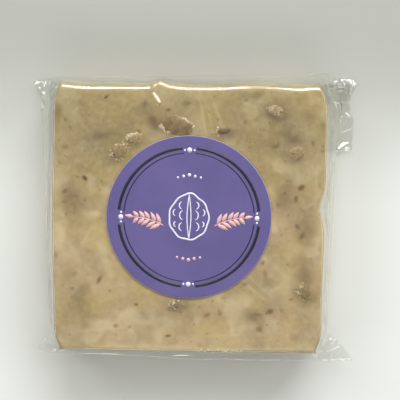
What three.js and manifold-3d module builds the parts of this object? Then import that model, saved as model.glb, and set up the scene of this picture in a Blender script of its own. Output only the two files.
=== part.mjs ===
// A square slab of walnut fudge sealed in a clear flat bag, with a round sticker on its face.
// It lies on its back: +X is to the right of the sticker, +Y up its face, +Z out of it.
// Millimetres. The origin is under the middle of the bag's whole outline, on the ground.
//
// The bag is a flat tube of film, wider than the slab. It hugs the slab, stands off it in a
// crease half way up each side, ends in a flat seam below and in a fold above, and spreads
// into a flat ear at each corner. The bag's mouth is folded to the back, as a flap.
import * as THREE from 'three';
import { mergeVertices } from 'three/addons/utils/BufferGeometryUtils.js';
import Module from 'manifold-3d';

// ---- driving dimensions -------------------------------------------------------------
const SLAB = { left: -53.7, right: 51.7, bottom: -50.4, top: 52.1 }; // sides of the slab
const FACE_Z = 19.2; // top of the film over the slab's face
const FACE_ROUND = 1.7; // rounding of the slab's upper edges
const BACK_ROUND = 1.2; // rounding of its lower edges
const CORNER_INSET = 2.2; // how far the slab's sides draw in at its corners
const CORNER_REACH = 4.5; // how far along a side that is felt

const CREASE_Z = 8.6; // height of the film's crease along each side
const EAR_Z = 3.4; // height of the ears and of the seam
const FOLD_Z = 1.4; // height of the fold above the slab
const FILM_EDGE = 0.8; // thickness of the bag where its two faces meet
const SEAM_WIDTH = 3.6; // the flat welded strip below the slab
const EAR_RUN = 12; // how far along a side the crease bends down to the ears

// The crease beside the slab, from the slab's bottom to its top, as [y, x].
const LEFT_CREASE = [[-45.5, -55.6], [-16, -56.8], [8, -57.6], [44, -58.9]];
const RIGHT_CREASE = [[-45.5, 54.0], [-12, 54.6], [28, 55.8], [44, 57.6]];
// The tips of the ears and, towards the slab, the point that bends each ear's outer edge.
const EARS = {
  bottomLeft: { tip: [-65.1, -53.4], bend: [-57.5, -50.0] },
  bottomRight: { tip: [65.1, -57.0], bend: [58.5, -47.0] },
  topLeft: { tip: [-62.9, 53.4], bend: [-60.0, 46.5] },
  topRight: { tip: [64.6, 54.6], bend: [60.5, 46.0] },
};
const SEAM_Y = { left: -55.8, right: -57.7 }; // the seam's edge under the slab's corners
const FOLD_Y = { left: 53.6, middle: 55.7, right: 57.7 }; // the fold's edge above them

const FLAP = { right: 62.9, step: 1.4, stepY: 41, mouthY: 26.8, thickness: 1.0 };

const STICKER = { x: -1.1, y: 3.0, radius: 31.75, thickness: 0.4, gap: 0.3 };

// Bumps of the slab's outline: where along the side, how far out, how wide.
const TOP_EDGE_BUMPS = [
  { at: -50, rise: 0.5, spread: 8 },
  { at: -14, rise: 2.6, spread: 2.6 },
  { at: -8.5, rise: 1.0, spread: 4 },
  { at: 25, rise: 1.2, spread: 13 },
  { at: 49, rise: 0.7, spread: 5 },
];
const RIGHT_EDGE_BUMPS = [
  { at: 6.5, rise: -2.0, spread: 5.5 },
  { at: -28, rise: -0.4, spread: 18 },
];
const LEFT_EDGE_BUMPS = [{ at: 0, rise: 0.6, spread: 26 }];
const BOTTOM_EDGE_BUMPS = [{ at: -44, rise: -0.4, spread: 9 }];

// Walnut pieces that lift the film over the face: place, half sizes, turn and height.
const LUMPS = [
  { x: -6.4, y: 38.3, long: 6.6, wide: 3.6, turn: -12, height: 0.9 },
  { x: -28.1, y: 28.1, long: 4.2, wide: 3.0, turn: 40, height: 0.6 },
  { x: -22.0, y: 33.2, long: 3.6, wide: 2.6, turn: 20, height: 0.6 },
  { x: 31.2, y: 44.4, long: 3.6, wide: 2.6, turn: -25, height: 0.7 },
  { x: 11.9, y: 36.6, long: 4.6, wide: 2.0, turn: 8, height: 0.5 },
  { x: 39.5, y: 28.1, long: 3.4, wide: 3.0, turn: 30, height: 0.6 },
  { x: 44.1, y: -25.8, long: 3.8, wide: 3.2, turn: -50, height: 0.7 },
  { x: -6.2, y: -32.6, long: 3.4, wide: 2.4, turn: 10, height: 0.6 },
];
const FACE_SWELL = 0.35; // height of the face's slow waves
const STICKER_MARGIN = 2; // the face lies flat this far round the sticker

const FACE_STEPS = 38; // cells across the slab's face, each way
const ROUND_STEPS = 2; // cells over its rounded edge
const RAMP_STEPS = 3; // cells from that edge out to the bag's edge
const STICKER_SIDES = 96;

// ---- the slab's outline and face ------------------------------------------------------
const lerp = THREE.MathUtils.lerp;
const smoothstep = THREE.MathUtils.smoothstep;
const bell = (distance, spread) => Math.exp(-((distance / spread) ** 2));
const bumpsAt = (bumps, s) => bumps.reduce((sum, b) => sum + b.rise * bell(s - b.at, b.spread), 0);
const cornerInset = (s, from, to) =>
  CORNER_INSET * (bell(s - from, CORNER_REACH) + bell(s - to, CORNER_REACH));

const leftEdge = (y) =>
  SLAB.left - bumpsAt(LEFT_EDGE_BUMPS, y) + cornerInset(y, SLAB.bottom, SLAB.top);
const rightEdge = (y) =>
  SLAB.right + bumpsAt(RIGHT_EDGE_BUMPS, y) - cornerInset(y, SLAB.bottom, SLAB.top);
const bottomEdge = (x) => SLAB.bottom - bumpsAt(BOTTOM_EDGE_BUMPS, x);
const topEdge = (x) => SLAB.top + bumpsAt(TOP_EDGE_BUMPS, x);

// p runs from 0 at the slab's left to 1 at its right, q from 0 at its bottom to 1 at its top.
function slabPoint(p, q) {
  const x = lerp(SLAB.left, SLAB.right, p);
  const y = lerp(SLAB.bottom, SLAB.top, q);
  return [lerp(leftEdge(y), rightEdge(y), p), lerp(bottomEdge(x), topEdge(x), q)];
}

function lumpHeight(lump, x, y) {
  const turn = THREE.MathUtils.degToRad(lump.turn);
  const along = (x - lump.x) * Math.cos(turn) + (y - lump.y) * Math.sin(turn);
  const across = (y - lump.y) * Math.cos(turn) - (x - lump.x) * Math.sin(turn);
  const reach = Math.hypot(along / lump.long, across / lump.wide);
  return lump.height * Math.exp(-(reach ** 3));
}

// Height of the face over its general level: slow waves and the lumps, flat under the sticker.
function faceRelief(x, y) {
  const waves = -FACE_SWELL * (0.5 + 0.25 * Math.sin(x / 9 + y / 21) + 0.25 * Math.cos(y / 8 - x / 17));
  const lumps = LUMPS.reduce((sum, lump) => sum + lumpHeight(lump, x, y), 0);
  const fromSticker = Math.hypot(x - STICKER.x, y - STICKER.y) - STICKER.radius;
  return (waves + lumps) * smoothstep(fromSticker, 0, STICKER_MARGIN * 2);
}

// ---- the bag ----------------------------------------------------------------------------
// Across the bag and along it, a line of stations goes from one outer edge over the slab to
// the other. Each has its side (-1, 0 over the slab, +1), its share of the way out over the
// ramp, its distance in from the slab's edge, and its share of the way over the slab.
function stations(length, round) {
  const list = [];
  for (let i = 0; i < RAMP_STEPS; i += 1) {
    list.push({ side: -1, out: 1 - i / RAMP_STEPS, inset: 0, share: 0 });
  }
  for (let i = 0; i < ROUND_STEPS; i += 1) {
    const inset = round * (1 - Math.cos((Math.PI / 2) * (i / ROUND_STEPS)));
    list.push({ side: 0, out: 0, inset, share: inset / length });
  }
  for (let i = 0; i <= FACE_STEPS; i += 1) {
    const inset = lerp(round, length - round, i / FACE_STEPS);
    list.push({ side: 0, out: 0, inset: round, share: inset / length });
  }
  const mirrored = list.slice(0, RAMP_STEPS + ROUND_STEPS).reverse();
  for (const s of mirrored) list.push({ ...s, side: -s.side, share: 1 - s.share });
  return list;
}

// A point of a crease at height y, straight between its listed points.
function creaseX(crease, y) {
  const last = crease.length - 1;
  let k = 0;
  while (k < last - 1 && y > crease[k + 1][0]) k += 1;
  const [y0, x0] = crease[k];
  const [y1, x1] = crease[k + 1];
  return lerp(x0, x1, (y - y0) / (y1 - y0));
}

const bezier = (a, b, c, t) =>
  [0, 1].map((k) => a[k] * (1 - t) ** 2 + 2 * b[k] * t * (1 - t) + c[k] * t ** 2);

const creaseOf = (side) => (side < 0 ? LEFT_CREASE : RIGHT_CREASE);
const earOf = (side, end) =>
  EARS[(end < 0 ? 'bottom' : 'top') + (side < 0 ? 'Left' : 'Right')];

// The crease at the share q of the slab's length.
function creasePoint(side, q) {
  const crease = creaseOf(side);
  const y = lerp(crease[0][0], crease[crease.length - 1][0], q);
  return [creaseX(crease, y), y];
}

// The outer edge of an ear, from the crease (t = 0) to the ear's tip (t = 1).
function earEdge(side, end, t) {
  const ear = earOf(side, end);
  return bezier(creasePoint(side, end < 0 ? 0 : 1), ear.bend, ear.tip, t);
}

// The bag's edge below and above the slab at the share p of the slab's width.
function endEdge(end, p) {
  const x = lerp(SLAB.left, SLAB.right, p);
  if (end < 0) return [x, lerp(SEAM_Y.left, SEAM_Y.right, smoothstep(p, 0.1, 0.6))];
  const half = p < 0.5 ? lerp(FOLD_Y.left, FOLD_Y.middle, smoothstep(p, 0, 0.5))
    : lerp(FOLD_Y.middle, FOLD_Y.right, smoothstep(p, 0.9, 1));
  return [x, half];
}

// Where the stations a across and b along meet, seen from above.
function planPoint(a, b) {
  const onSlab = slabPoint(a.share, b.share);
  if (a.side === 0 && b.side === 0) return onSlab;
  const mix = (from, to, t) => [lerp(from[0], to[0], t), lerp(from[1], to[1], t)];
  if (b.side === 0) return mix(onSlab, creasePoint(a.side, b.share), a.out);
  if (a.side === 0) return mix(onSlab, endEdge(b.side, a.share), b.out);
  const inner = mix(onSlab, endEdge(b.side, a.share), b.out);
  return mix(inner, earEdge(a.side, b.side, b.out), a.out);
}

// Height of the bag's outer edge, where its two faces meet: it dips from the crease to the ears.
function rimHeight(b, y) {
  if (b.side < 0) return EAR_Z;
  const low = smoothstep(y, SLAB.bottom, SLAB.bottom + EAR_RUN);
  const high = smoothstep(y, SLAB.top - EAR_RUN, SLAB.top);
  const side = lerp(EAR_Z, CREASE_Z, low);
  return b.side > 0 ? FOLD_Z : lerp(side, FOLD_Z, high);
}

// How far a rounded edge has dropped at insets dx and dy from two sides.
function roundDrop(dx, dy, round) {
  const reach = Math.min(round, Math.hypot(round - dx, round - dy));
  return round - Math.sqrt(round * round - reach * reach);
}

// How much of the slab's height is left at a station on the way out: none in the welded seam.
const sideShare = (a) => 1 - a.out;
function endShare(b) {
  const weld = b.side < 0 ? SEAM_WIDTH / (SLAB.bottom - SEAM_Y.right) : 0;
  return Math.max(0, 1 - b.out / (1 - weld));
}

function bagSheet(across, along, upper) {
  const round = upper ? FACE_ROUND : BACK_ROUND;
  return along.map((b) => across.map((a) => {
    const [x, y] = planPoint(a, b);
    const rim = rimHeight(b, y) + (upper ? 0.5 : -0.5) * FILM_EDGE;
    const drop = roundDrop(Math.min(a.inset, round), Math.min(b.inset, round), round);
    const slab = upper ? FACE_Z - drop + faceRelief(x, y) * (1 - drop / round) : drop;
    return [x, y, lerp(rim, slab, sideShare(a) * endShare(b))];
  }));
}

// One closed body: the upper sheet, the lower sheet turned over, and a narrow wall between.
// The flat back is one face, so the lower sheet has cells only round it.
function bagGeometry() {
  const width = SLAB.right - SLAB.left;
  const length = SLAB.top - SLAB.bottom;
  const across = stations(width, FACE_ROUND);
  const along = stations(length, FACE_ROUND);
  const top = bagSheet(across, along, true);
  const bottom = bagSheet(across, along, false);
  const columns = across.length;
  const rows = along.length;
  const positions = [...top.flat(), ...bottom.flat()].flat();
  const upper = (i, j) => j * columns + i;
  const lower = (i, j) => rows * columns + upper(i, j);
  const index = [];
  const quad = (a, b, c, d) => index.push(a, b, c, a, c, d);
  const flatFrom = RAMP_STEPS + ROUND_STEPS;
  const isBack = (i, j) => i >= flatFrom && i < columns - 1 - flatFrom
    && j >= flatFrom && j < rows - 1 - flatFrom;
  for (let j = 0; j < rows - 1; j += 1) {
    for (let i = 0; i < columns - 1; i += 1) {
      quad(upper(i, j), upper(i + 1, j), upper(i + 1, j + 1), upper(i, j + 1));
      if (!isBack(i, j)) quad(lower(i, j), lower(i, j + 1), lower(i + 1, j + 1), lower(i + 1, j));
    }
  }
  for (let i = 0; i < columns - 1; i += 1) {
    quad(lower(i, 0), lower(i + 1, 0), upper(i + 1, 0), upper(i, 0));
    quad(lower(i + 1, rows - 1), lower(i, rows - 1), upper(i, rows - 1), upper(i + 1, rows - 1));
  }
  for (let j = 0; j < rows - 1; j += 1) {
    quad(lower(0, j + 1), lower(0, j), upper(0, j), upper(0, j + 1));
    const i = columns - 1;
    quad(lower(i, j), lower(i, j + 1), upper(i, j + 1), upper(i, j));
  }
  addBackFace(index, bottom, lower, flatFrom, columns - 1 - flatFrom, rows - 1 - flatFrom);
  const geometry = new THREE.BufferGeometry();
  geometry.setAttribute('position', new THREE.Float32BufferAttribute(positions, 3));
  geometry.setIndex(index);
  return geometry;
}

// The flat back as one polygon with the lower sheet's own points, facing down.
function addBackFace(index, bottom, lower, from, toColumn, toRow) {
  const ring = [];
  for (let i = from; i < toColumn; i += 1) ring.push([i, from]);
  for (let j = from; j < toRow; j += 1) ring.push([toColumn, j]);
  for (let i = toColumn; i > from; i -= 1) ring.push([i, toRow]);
  for (let j = toRow; j > from; j -= 1) ring.push([from, j]);
  const outline = ring.map(([i, j]) => new THREE.Vector2(bottom[j][i][0], bottom[j][i][1]));
  for (const [a, b, c] of THREE.ShapeUtils.triangulateShape(outline, [])) {
    index.push(lower(...ring[a]), lower(...ring[c]), lower(...ring[b]));
  }
}

// The part of the folded-back flap that reaches out beside the slab.
function flapGeometry() {
  const inside = SLAB.right - 5;
  const outer = FLAP.right;
  const outline = [
    [inside, FLAP.mouthY], [outer, FLAP.mouthY], [outer, FLAP.stepY],
    [outer - FLAP.step, FLAP.stepY], [outer - FLAP.step, SLAB.top + 2], [inside, SLAB.top + 2],
  ];
  const shape = new THREE.Shape(outline.map(([x, y]) => new THREE.Vector2(x, y)));
  return new THREE.ExtrudeGeometry(shape, { depth: FLAP.thickness, bevelEnabled: false });
}

// ---- joining ----------------------------------------------------------------------------
const wasm = await Module();
wasm.setup();

function toSolid(geometry) {
  const bare = geometry.clone();
  bare.deleteAttribute('normal');
  bare.deleteAttribute('uv');
  const merged = mergeVertices(bare, 1e-4);
  return new wasm.Manifold(new wasm.Mesh({
    numProp: 3,
    vertProperties: new Float32Array(merged.attributes.position.array),
    triVerts: new Uint32Array(merged.index.array),
  }));
}

function toGeometry(solid) {
  const mesh = solid.getMesh();
  const geometry = new THREE.BufferGeometry();
  geometry.setAttribute('position', new THREE.BufferAttribute(mesh.vertProperties, 3));
  geometry.setIndex(new THREE.BufferAttribute(mesh.triVerts, 1));
  geometry.computeVertexNormals();
  return geometry;
}

// ---- the pieces ---------------------------------------------------------------------------
const fudgeInFilm = new THREE.MeshStandardMaterial({ color: 0xbda27c, roughness: 0.35, metalness: 0 });
const violetPaper = new THREE.MeshStandardMaterial({ color: 0x6b6196, roughness: 0.5, metalness: 0 });

const bag = new THREE.Mesh(
  toGeometry(toSolid(bagGeometry()).add(toSolid(flapGeometry()))), fudgeInFilm);
bag.name = 'fudge_bag';

const disc = new THREE.CylinderGeometry(STICKER.radius, STICKER.radius, STICKER.thickness, STICKER_SIDES);
const sticker = new THREE.Mesh(disc, violetPaper);
sticker.name = 'sticker';
sticker.rotation.x = Math.PI / 2;
sticker.position.set(STICKER.x, STICKER.y, FACE_Z + STICKER.gap + STICKER.thickness / 2);

const pack = new THREE.Group();
pack.add(bag, sticker);
export default pack;
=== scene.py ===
"""A slab of walnut fudge in a clear flat bag, with a round sticker on its face.

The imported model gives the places. Here the bag is dressed as two sheets of clear film and a
folded flap, with the slab and its walnut pieces inside, and the sticker as printed paper.
Shapes are worked out in millimetres, with +X to the right of the sticker, +Y up its face and
+Z out of it, and put into the meshes in metres.
"""
import math
import bpy
import numpy as np
from mathutils import Matrix, Vector


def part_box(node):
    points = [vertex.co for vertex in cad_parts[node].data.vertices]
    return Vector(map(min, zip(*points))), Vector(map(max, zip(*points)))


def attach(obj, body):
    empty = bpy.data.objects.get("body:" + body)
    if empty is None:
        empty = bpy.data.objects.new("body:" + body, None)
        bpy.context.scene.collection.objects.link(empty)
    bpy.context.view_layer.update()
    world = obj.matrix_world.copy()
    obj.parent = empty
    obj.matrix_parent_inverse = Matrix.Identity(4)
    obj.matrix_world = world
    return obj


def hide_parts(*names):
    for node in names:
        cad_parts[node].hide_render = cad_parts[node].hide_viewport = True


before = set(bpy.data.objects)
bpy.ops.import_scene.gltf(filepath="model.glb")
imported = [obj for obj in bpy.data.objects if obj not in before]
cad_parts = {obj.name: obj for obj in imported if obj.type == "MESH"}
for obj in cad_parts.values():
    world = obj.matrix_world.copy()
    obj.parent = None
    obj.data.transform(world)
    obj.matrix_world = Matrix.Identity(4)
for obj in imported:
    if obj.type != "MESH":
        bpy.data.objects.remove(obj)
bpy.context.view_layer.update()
MM = 0.001

# ---- sizes in millimetres ---------------------------------------------------
SLAB = {"left": -53.7, "right": 51.7, "bottom": -51.0, "top": 53.5}
FACE_Z = 19.2  # top of the film over the slab's face
FACE_ROUND = 1.9  # rounding of the slab's upper edges
BACK_ROUND = 1.2  # rounding of its lower edges
END_ROUND = 1.3  # how far in from the two ends the film is rounded
CORNER_INSET = 2.2  # how far the slab's sides draw in at its corners
CORNER_REACH = 4.5  # how far along a side that is felt

CREASE_Z = 8.6  # height of the film's crease along each side
EAR_Z = 3.4  # height of the ears and of the seam
FOLD_Z = 1.6  # height of the fold above the slab
SEAM_WIDTH = 3.6  # the flat welded strip below the slab
EAR_RUN = 12.0  # how far along a side the crease bends down to the ears

LEFT_CREASE = ((-45.5, -16.0, 8.0, 44.0), (-55.6, -56.8, -57.6, -58.9))  # y and x
RIGHT_CREASE = ((-45.5, -12.0, 28.0, 44.0), (54.0, 54.6, 55.8, 57.6))
EARS = {  # each ear's tip, and the point that bends its outer edge
    (-1, -1): ((-65.1, -53.4), (-57.5, -50.0)),
    (1, -1): ((65.1, -57.0), (58.5, -47.0)),
    (-1, 1): ((-62.9, 53.4), (-60.0, 46.5)),
    (1, 1): ((64.6, 54.6), (60.5, 46.0)),
}
SEAM_Y = (-55.8, -57.7)  # the seam's edge under the slab's left and right corners
SEAM_TURN = (0.1, 0.6)  # shares of the width between which it changes
FOLD_Y = (54.7, 56.2, 57.7)  # the fold's edge above its left, middle and right
FOLD_TURN = (0.5, 0.9)  # shares of the width where it is at the middle's level, from and to

FILM = 0.05  # thickness of the film
EDGE_BEAD = 0.45  # height of the film's rounded edge
BEAD_CELLS = 3.5  # cells of the grid from the film's edge to the bead's top
BORDER = 0.03  # the first line of a film sheet's grid lies this share of a cell in from its edge
FILM_GAP = 0.12  # the two sheets stay this far from the level where they meet
BACK_FILM_Z = 0.42  # the lower sheet's level under the slab, above the folded flap
BACK_Z = 0.75  # underside of the slab
VEIL = 0.4  # how far the slab's face lies below the film's outside

# The mouth of the bag, folded to the back: its left and right edge, a step in its right edge,
# its lower edge and its fold.
FLAP = {"left": -56.0, "right": 62.9, "step": 1.4, "step_y": 41.0, "mouth": 26.8, "top": 53.2}
FLAP_SHEETS = (0.08, 0.20)  # undersides of its two sheets
FLAP_UNDER = 0.7  # share of its grid's width that lies under the slab
FLAP_CELLS = (30, 70, 88)  # its grid: across under the slab, across beside it, and along
FLAP_BEAD = (0.3, 0.35)  # height of the bead along its edges, and its distance from them
FLAP_FREE = (0.5, 5)  # its swell grows between these distances from the slab
FLAP_SWELL = 0.2  # level of the swell
FLAP_RIPPLES = ((0.25, 6, 12), (0.12, 3.5, 13))  # a folded and a plain one: height, length, seed
FLAP_CALM = (0.9, 2.0)  # they lose this share on a fold, within this spread
FLAP_SWELL_MOST = 1.6  # the most that its sheets rise
LOWER_SWELL = 0.4  # share of the rise that its lower sheet takes part in
FLAP_STEP_REACH = 0.3  # how far below and above its place the step reaches
FLAP_FLAT = 2.5  # its swell fades out over this distance before the fold
FLAP_ROOM = 1.1  # least height of the sheets above it where it reaches out at the right
FLAP_PASSAGE = (2, (20, 26))  # that height sets in over this distance from the slab and these y

# The bag's two sheets: cells of the grid from the outer edge to the slab, round the slab's edge
# and over its face, and the distance that the second ones take.
FRONT_GRID = ((28, 17, 100), 2.5)
BACK_GRID = ((20, 4, 44), BACK_ROUND)
# Where the upper sheet's grid is finer: at the slab's edges, and at the pucker in its top. Each
# is a share of the way over the slab, a spread and a height.
END_FINER = ((0, 0.1, 1.2), (1, 0.1, 1.6))
PUCKER_FINER = END_FINER + ((0.38, 0.035, 3.5),)

# The film beside the slab is loose.
LOOSE_FROM = ((46, 52), (38, 48))  # the crumples grow over these distances from the middle
CRUMPLE = 0.62  # height of the crumples
CALM = (0.7, 1.3)  # they lose this share on a fold, within this spread
CALM_EAR = (0.55, (48, 53), (40, 46))  # and this share in the lower right ear, from these x and -y
CRUMPLE_RIPPLES = ((7.0, 3), (5.0, 4), (3.2, 5))  # length and seed of the three in a crumple
CRUMPLE_FINE = 0.4  # share of the last of them
STREAK_HEIGHT, STREAK_WIDTH = 0.2, 1.9  # of the fine streaks that run along the slab's sides
STREAK_SLIM = 0.08  # their width as a share of their length
PLEAT = (0.5, 0.12, 1.4)  # along the slab's sides: share of the way out, spread, height
PLEAT_WANDER = (0.06, 34)  # how far it wanders, and over what length
PLEAT_SWELL = (0.2, 26)  # the share by which it swells, and over what length
TAUT_UNTIL = 0.35  # share of the way out where the looseness is whole
BACK_LOOSE = 0.6  # the lower sheet's share of it
BACK_LOOSE_Z = (0.2, 2.0)  # heights of the lower sheet between which its looseness grows
SAG = 1.0  # how far below its edge the film may sag

# Bumps in the slab's four sides: where along the side, how far out and how wide.
TOP_BUMPS = ((-52, 0.6, 5), (-13.4, 1.5, 2.5), (-10.8, 0.7, 5), (25, 0.9, 12), (48, 0.6, 4))
RIGHT_BUMPS = ((6.5, -2.0, 5.5), (-28, -0.4, 18))
LEFT_BUMPS = ((0, 0.6, 26),)
BOTTOM_BUMPS = ((-44, -0.4, 9),)

# Walnut pieces at the face: x, y, half length, half width, turn in degrees, height.
LUMPS = (
    (-6.4, 38.3, 6.6, 3.6, -12, 0.9),
    (-28.1, 28.1, 4.2, 3.0, 40, 0.6),
    (-22.0, 33.2, 3.6, 2.6, 20, 0.6),
    (31.2, 44.4, 3.6, 2.6, -25, 0.7),
    (11.9, 36.6, 4.6, 2.0, 8, 0.5),
    (39.5, 28.1, 3.4, 3.0, 30, 0.6),
    (44.1, -25.8, 3.8, 3.2, -50, 0.7),
    (-5.9, -31.4, 3.4, 2.4, 10, 0.6),
)
FACE_SWELL = 0.35  # height of the face's slow waves
FACE_WAVES = ((9, 21), (-17, 8))  # millimetres to a radian in x and y, of a sine and a cosine

LEDGE = 0.28  # the film steps down this far just before the slab's upper edge
LEDGE_START = (1.45, 0.15, 30)  # how far in from the edge, how far that wanders, over what length
LEDGE_WIDTH = 0.48  # distance over which it steps down
LEDGE_LEAST = (0.88, 40)  # least share of the step along the edge, and the length of its change
LOWER_LEDGE = 0.45  # share of the step's height at the slab's lower edge
FACE_FILM_WAVES = (0.03, 9)  # height and length of the film's own waves over the face
MIDDLE = (-1.0, 0.85)  # middle of the slab's plan

label_low, label_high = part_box("sticker")
LABEL_X = (label_low[0] + label_high[0]) / 2 / MM
LABEL_Y = (label_low[1] + label_high[1]) / 2 / MM
LABEL_RADIUS = (label_high[0] - label_low[0]) / 2 / MM
LABEL_MARGIN = 4.0  # the face is flat under the sticker and swells again over this distance
LABEL_Z = FACE_Z + 0.10  # underside of the sticker
LABEL_THICK = 0.14
LABEL_WAVES = ((0.035, 17, 51), (0.02, 8, 52))  # the paper's: height, length, seed
LABEL_CELLS = (40, 180)  # rings of its grid, and points in each
LABEL_EDGE = ((0.12, 0), (0.03, 0.03), (0, 0.07))  # its last rings: distance in from the edge, drop
LABEL_WHITE = (0.16, 0.05)  # its cut edge turns pale between these distances from the edge
INK = 0.03  # height of the print over the paper


# ---- shapes shared by the slab and the film ---------------------------------
def lerp(a, b, t):
    """The value a share t of the way from a to b."""
    return a + (b - a) * t


def smoothstep(t, low, high):
    """An S-shaped ramp from 0 at low to 1 at high."""
    s = np.clip((t - low) / (high - low), 0, 1)
    return s * s * (3 - 2 * s)


def bell(distance, spread):
    """A bump of height 1 that falls to 1/e at the spread."""
    return np.exp(-((distance / spread) ** 2))


def bumps_at(bumps, s):
    """The sum of the bumps (where, how far out, how wide) of one side at the place s."""
    return sum(rise * bell(s - at, spread) for at, rise, spread in bumps)


def ripple(x, y, wavelength, seed, waves=26):
    """Smooth noise of about -1 to 1: the sum of plane waves 0.7 to 1.5 times the wavelength
    long, in random directions, over the height that such a sum has."""
    rng = np.random.default_rng(seed)
    angle = rng.uniform(0, 2 * math.pi, waves)
    turns = 2 * math.pi / (wavelength * rng.uniform(0.7, 1.5, waves))
    phase = rng.uniform(0, 2 * math.pi, waves)
    total = np.zeros(np.broadcast(x, y).shape)
    for a, k, p in zip(angle, turns, phase):
        total += np.sin(k * (x * math.cos(a) + y * math.sin(a)) + p)
    return total * math.sqrt(2 / waves) / 1.8


def corner_inset(s, low, high):
    """How far a side draws in near its two ends."""
    return CORNER_INSET * (bell(s - low, CORNER_REACH) + bell(s - high, CORNER_REACH))


def slab_point(p, q):
    """The slab's plan: p runs 0 to 1 from left to right and q from bottom to top, between
    straight sides that bumps and corner insets push out and in."""
    x = lerp(SLAB["left"], SLAB["right"], p)
    y = lerp(SLAB["bottom"], SLAB["top"], q)
    inset = corner_inset(y, SLAB["bottom"], SLAB["top"])
    left = SLAB["left"] - bumps_at(LEFT_BUMPS, y) + inset
    right = SLAB["right"] + bumps_at(RIGHT_BUMPS, y) - inset
    bottom = SLAB["bottom"] - bumps_at(BOTTOM_BUMPS, x)
    top = SLAB["top"] + bumps_at(TOP_BUMPS, x)
    return lerp(left, right, p), lerp(bottom, top, q)


def turned(x, y, centre_x, centre_y, degrees):
    """Coordinates along and across an axis turned by the angle, from a centre."""
    turn = math.radians(degrees)
    dx, dy = x - centre_x, y - centre_y
    return dx * math.cos(turn) + dy * math.sin(turn), dy * math.cos(turn) - dx * math.sin(turn)


def lump_height(lump, x, y):
    """A walnut piece's rise: its height times exp(-reach cubed), reach in its half sizes."""
    along, across = turned(x, y, lump[0], lump[1], lump[4])
    return lump[5] * np.exp(-(np.hypot(along / lump[2], across / lump[3]) ** 3))


def face_relief(x, y):
    """Slow waves and lumps over the face's level, flat under the sticker."""
    sine, cosine = ((x / along_x + y / along_y) for along_x, along_y in FACE_WAVES)
    waves = 0.5 + 0.25 * np.sin(sine) + 0.25 * np.cos(cosine)
    lumps = sum(lump_height(lump, x, y) for lump in LUMPS)
    from_label = np.hypot(x - LABEL_X, y - LABEL_Y) - LABEL_RADIUS
    return (lumps - FACE_SWELL * waves) * smoothstep(from_label, 0, LABEL_MARGIN)


# ---- meshes -----------------------------------------------------------------
def grid_quads(rows, columns, start=0, flip=False, wrap=False):
    """The quads of a grid of vertices, facing the side from which rows go up and columns go
    right; wrap joins the last column to the first."""
    j = np.arange(rows - 1)[:, None]
    i = np.arange(columns if wrap else columns - 1)[None, :]
    right = (i + 1) % columns
    quads = np.stack(np.broadcast_arrays(
        j * columns + i, j * columns + right, (j + 1) * columns + right, (j + 1) * columns + i,
    ), -1).reshape(-1, 4) + start
    return quads[:, ::-1] if flip else quads


def grid_rim(rows, columns):
    """The indices round a grid's edge, anticlockwise from its first vertex."""
    last = rows - 1
    return np.concatenate([
        np.arange(columns - 1),
        np.arange(last) * columns + columns - 1,
        last * columns + np.arange(columns - 1, 0, -1),
        np.arange(last, 0, -1) * columns,
    ])


def strip(lower, upper):
    """Quads between two closed rings of vertices, facing outwards from an anticlockwise ring."""
    return np.stack([lower, np.roll(lower, -1), np.roll(upper, -1), upper], -1)


def fan(ring, centre):
    """Triangles from a closed ring of vertices to a centre, facing up from an anticlockwise
    ring."""
    return np.stack([ring, np.roll(ring, -1), np.full(len(ring), centre)], -1)


def grid_normals(points):
    """Upward unit normals of a grid: the cross product of its two tangents."""
    normal = np.cross(np.gradient(points, axis=1), np.gradient(points, axis=0))
    return normal / np.linalg.norm(normal, axis=2, keepdims=True)


def make_piece(name, points, faces, material, node=None, attributes=None, rim=None):
    """A mesh from points in millimetres and a list of face arrays, riding on the one body.
    Where a rim material is given, the first array is flat shaded and gets it."""
    mesh = bpy.data.meshes.new(name)
    points = np.asarray(points, dtype=float).reshape(-1, 3)
    loops = np.concatenate([f.ravel() for f in faces]).astype(np.int32)
    sizes = np.concatenate([np.full(len(f), f.shape[1]) for f in faces])
    starts = np.concatenate([[0], np.cumsum(sizes)[:-1]]).astype(np.int32)
    mesh.vertices.add(len(points))
    mesh.vertices.foreach_set("co", (points * MM).astype(np.float32).ravel())
    mesh.loops.add(len(loops))
    mesh.loops.foreach_set("vertex_index", loops)
    mesh.polygons.add(len(sizes))
    mesh.polygons.foreach_set("loop_start", starts)
    smooth = np.ones(len(sizes), dtype=bool)
    if rim:
        smooth[:len(faces[0])] = False
    mesh.polygons.foreach_set("use_smooth", smooth)
    mesh.update(calc_edges=True)
    for key, values in (attributes or {}).items():
        layer = mesh.attributes.new(key, "FLOAT", "POINT")
        layer.data.foreach_set("value", values.astype(np.float32).ravel())
    mesh.materials.append(material)
    if rim:
        mesh.materials.append(rim)
        mesh.polygons.foreach_set("material_index", np.where(smooth, 0, 1).astype(np.int32))
    piece = bpy.data.objects.new(name, mesh)
    bpy.context.scene.collection.objects.link(piece)
    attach(piece, "root")
    if node:
        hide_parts(node)
    return piece


def narrow_border(grid):
    """The same grid with one more line close to each edge, so that what happens to the
    normals at the edge stays within that narrow line."""
    for axis in (0, 1):
        grid = np.moveaxis(grid, axis, 0)
        grid = np.concatenate([
            grid[:1], lerp(grid[:1], grid[1:2], BORDER), grid[1:-1],
            lerp(grid[-1:], grid[-2:-1], BORDER), grid[-1:],
        ])
        grid = np.moveaxis(grid, 0, axis)
    return grid


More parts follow.
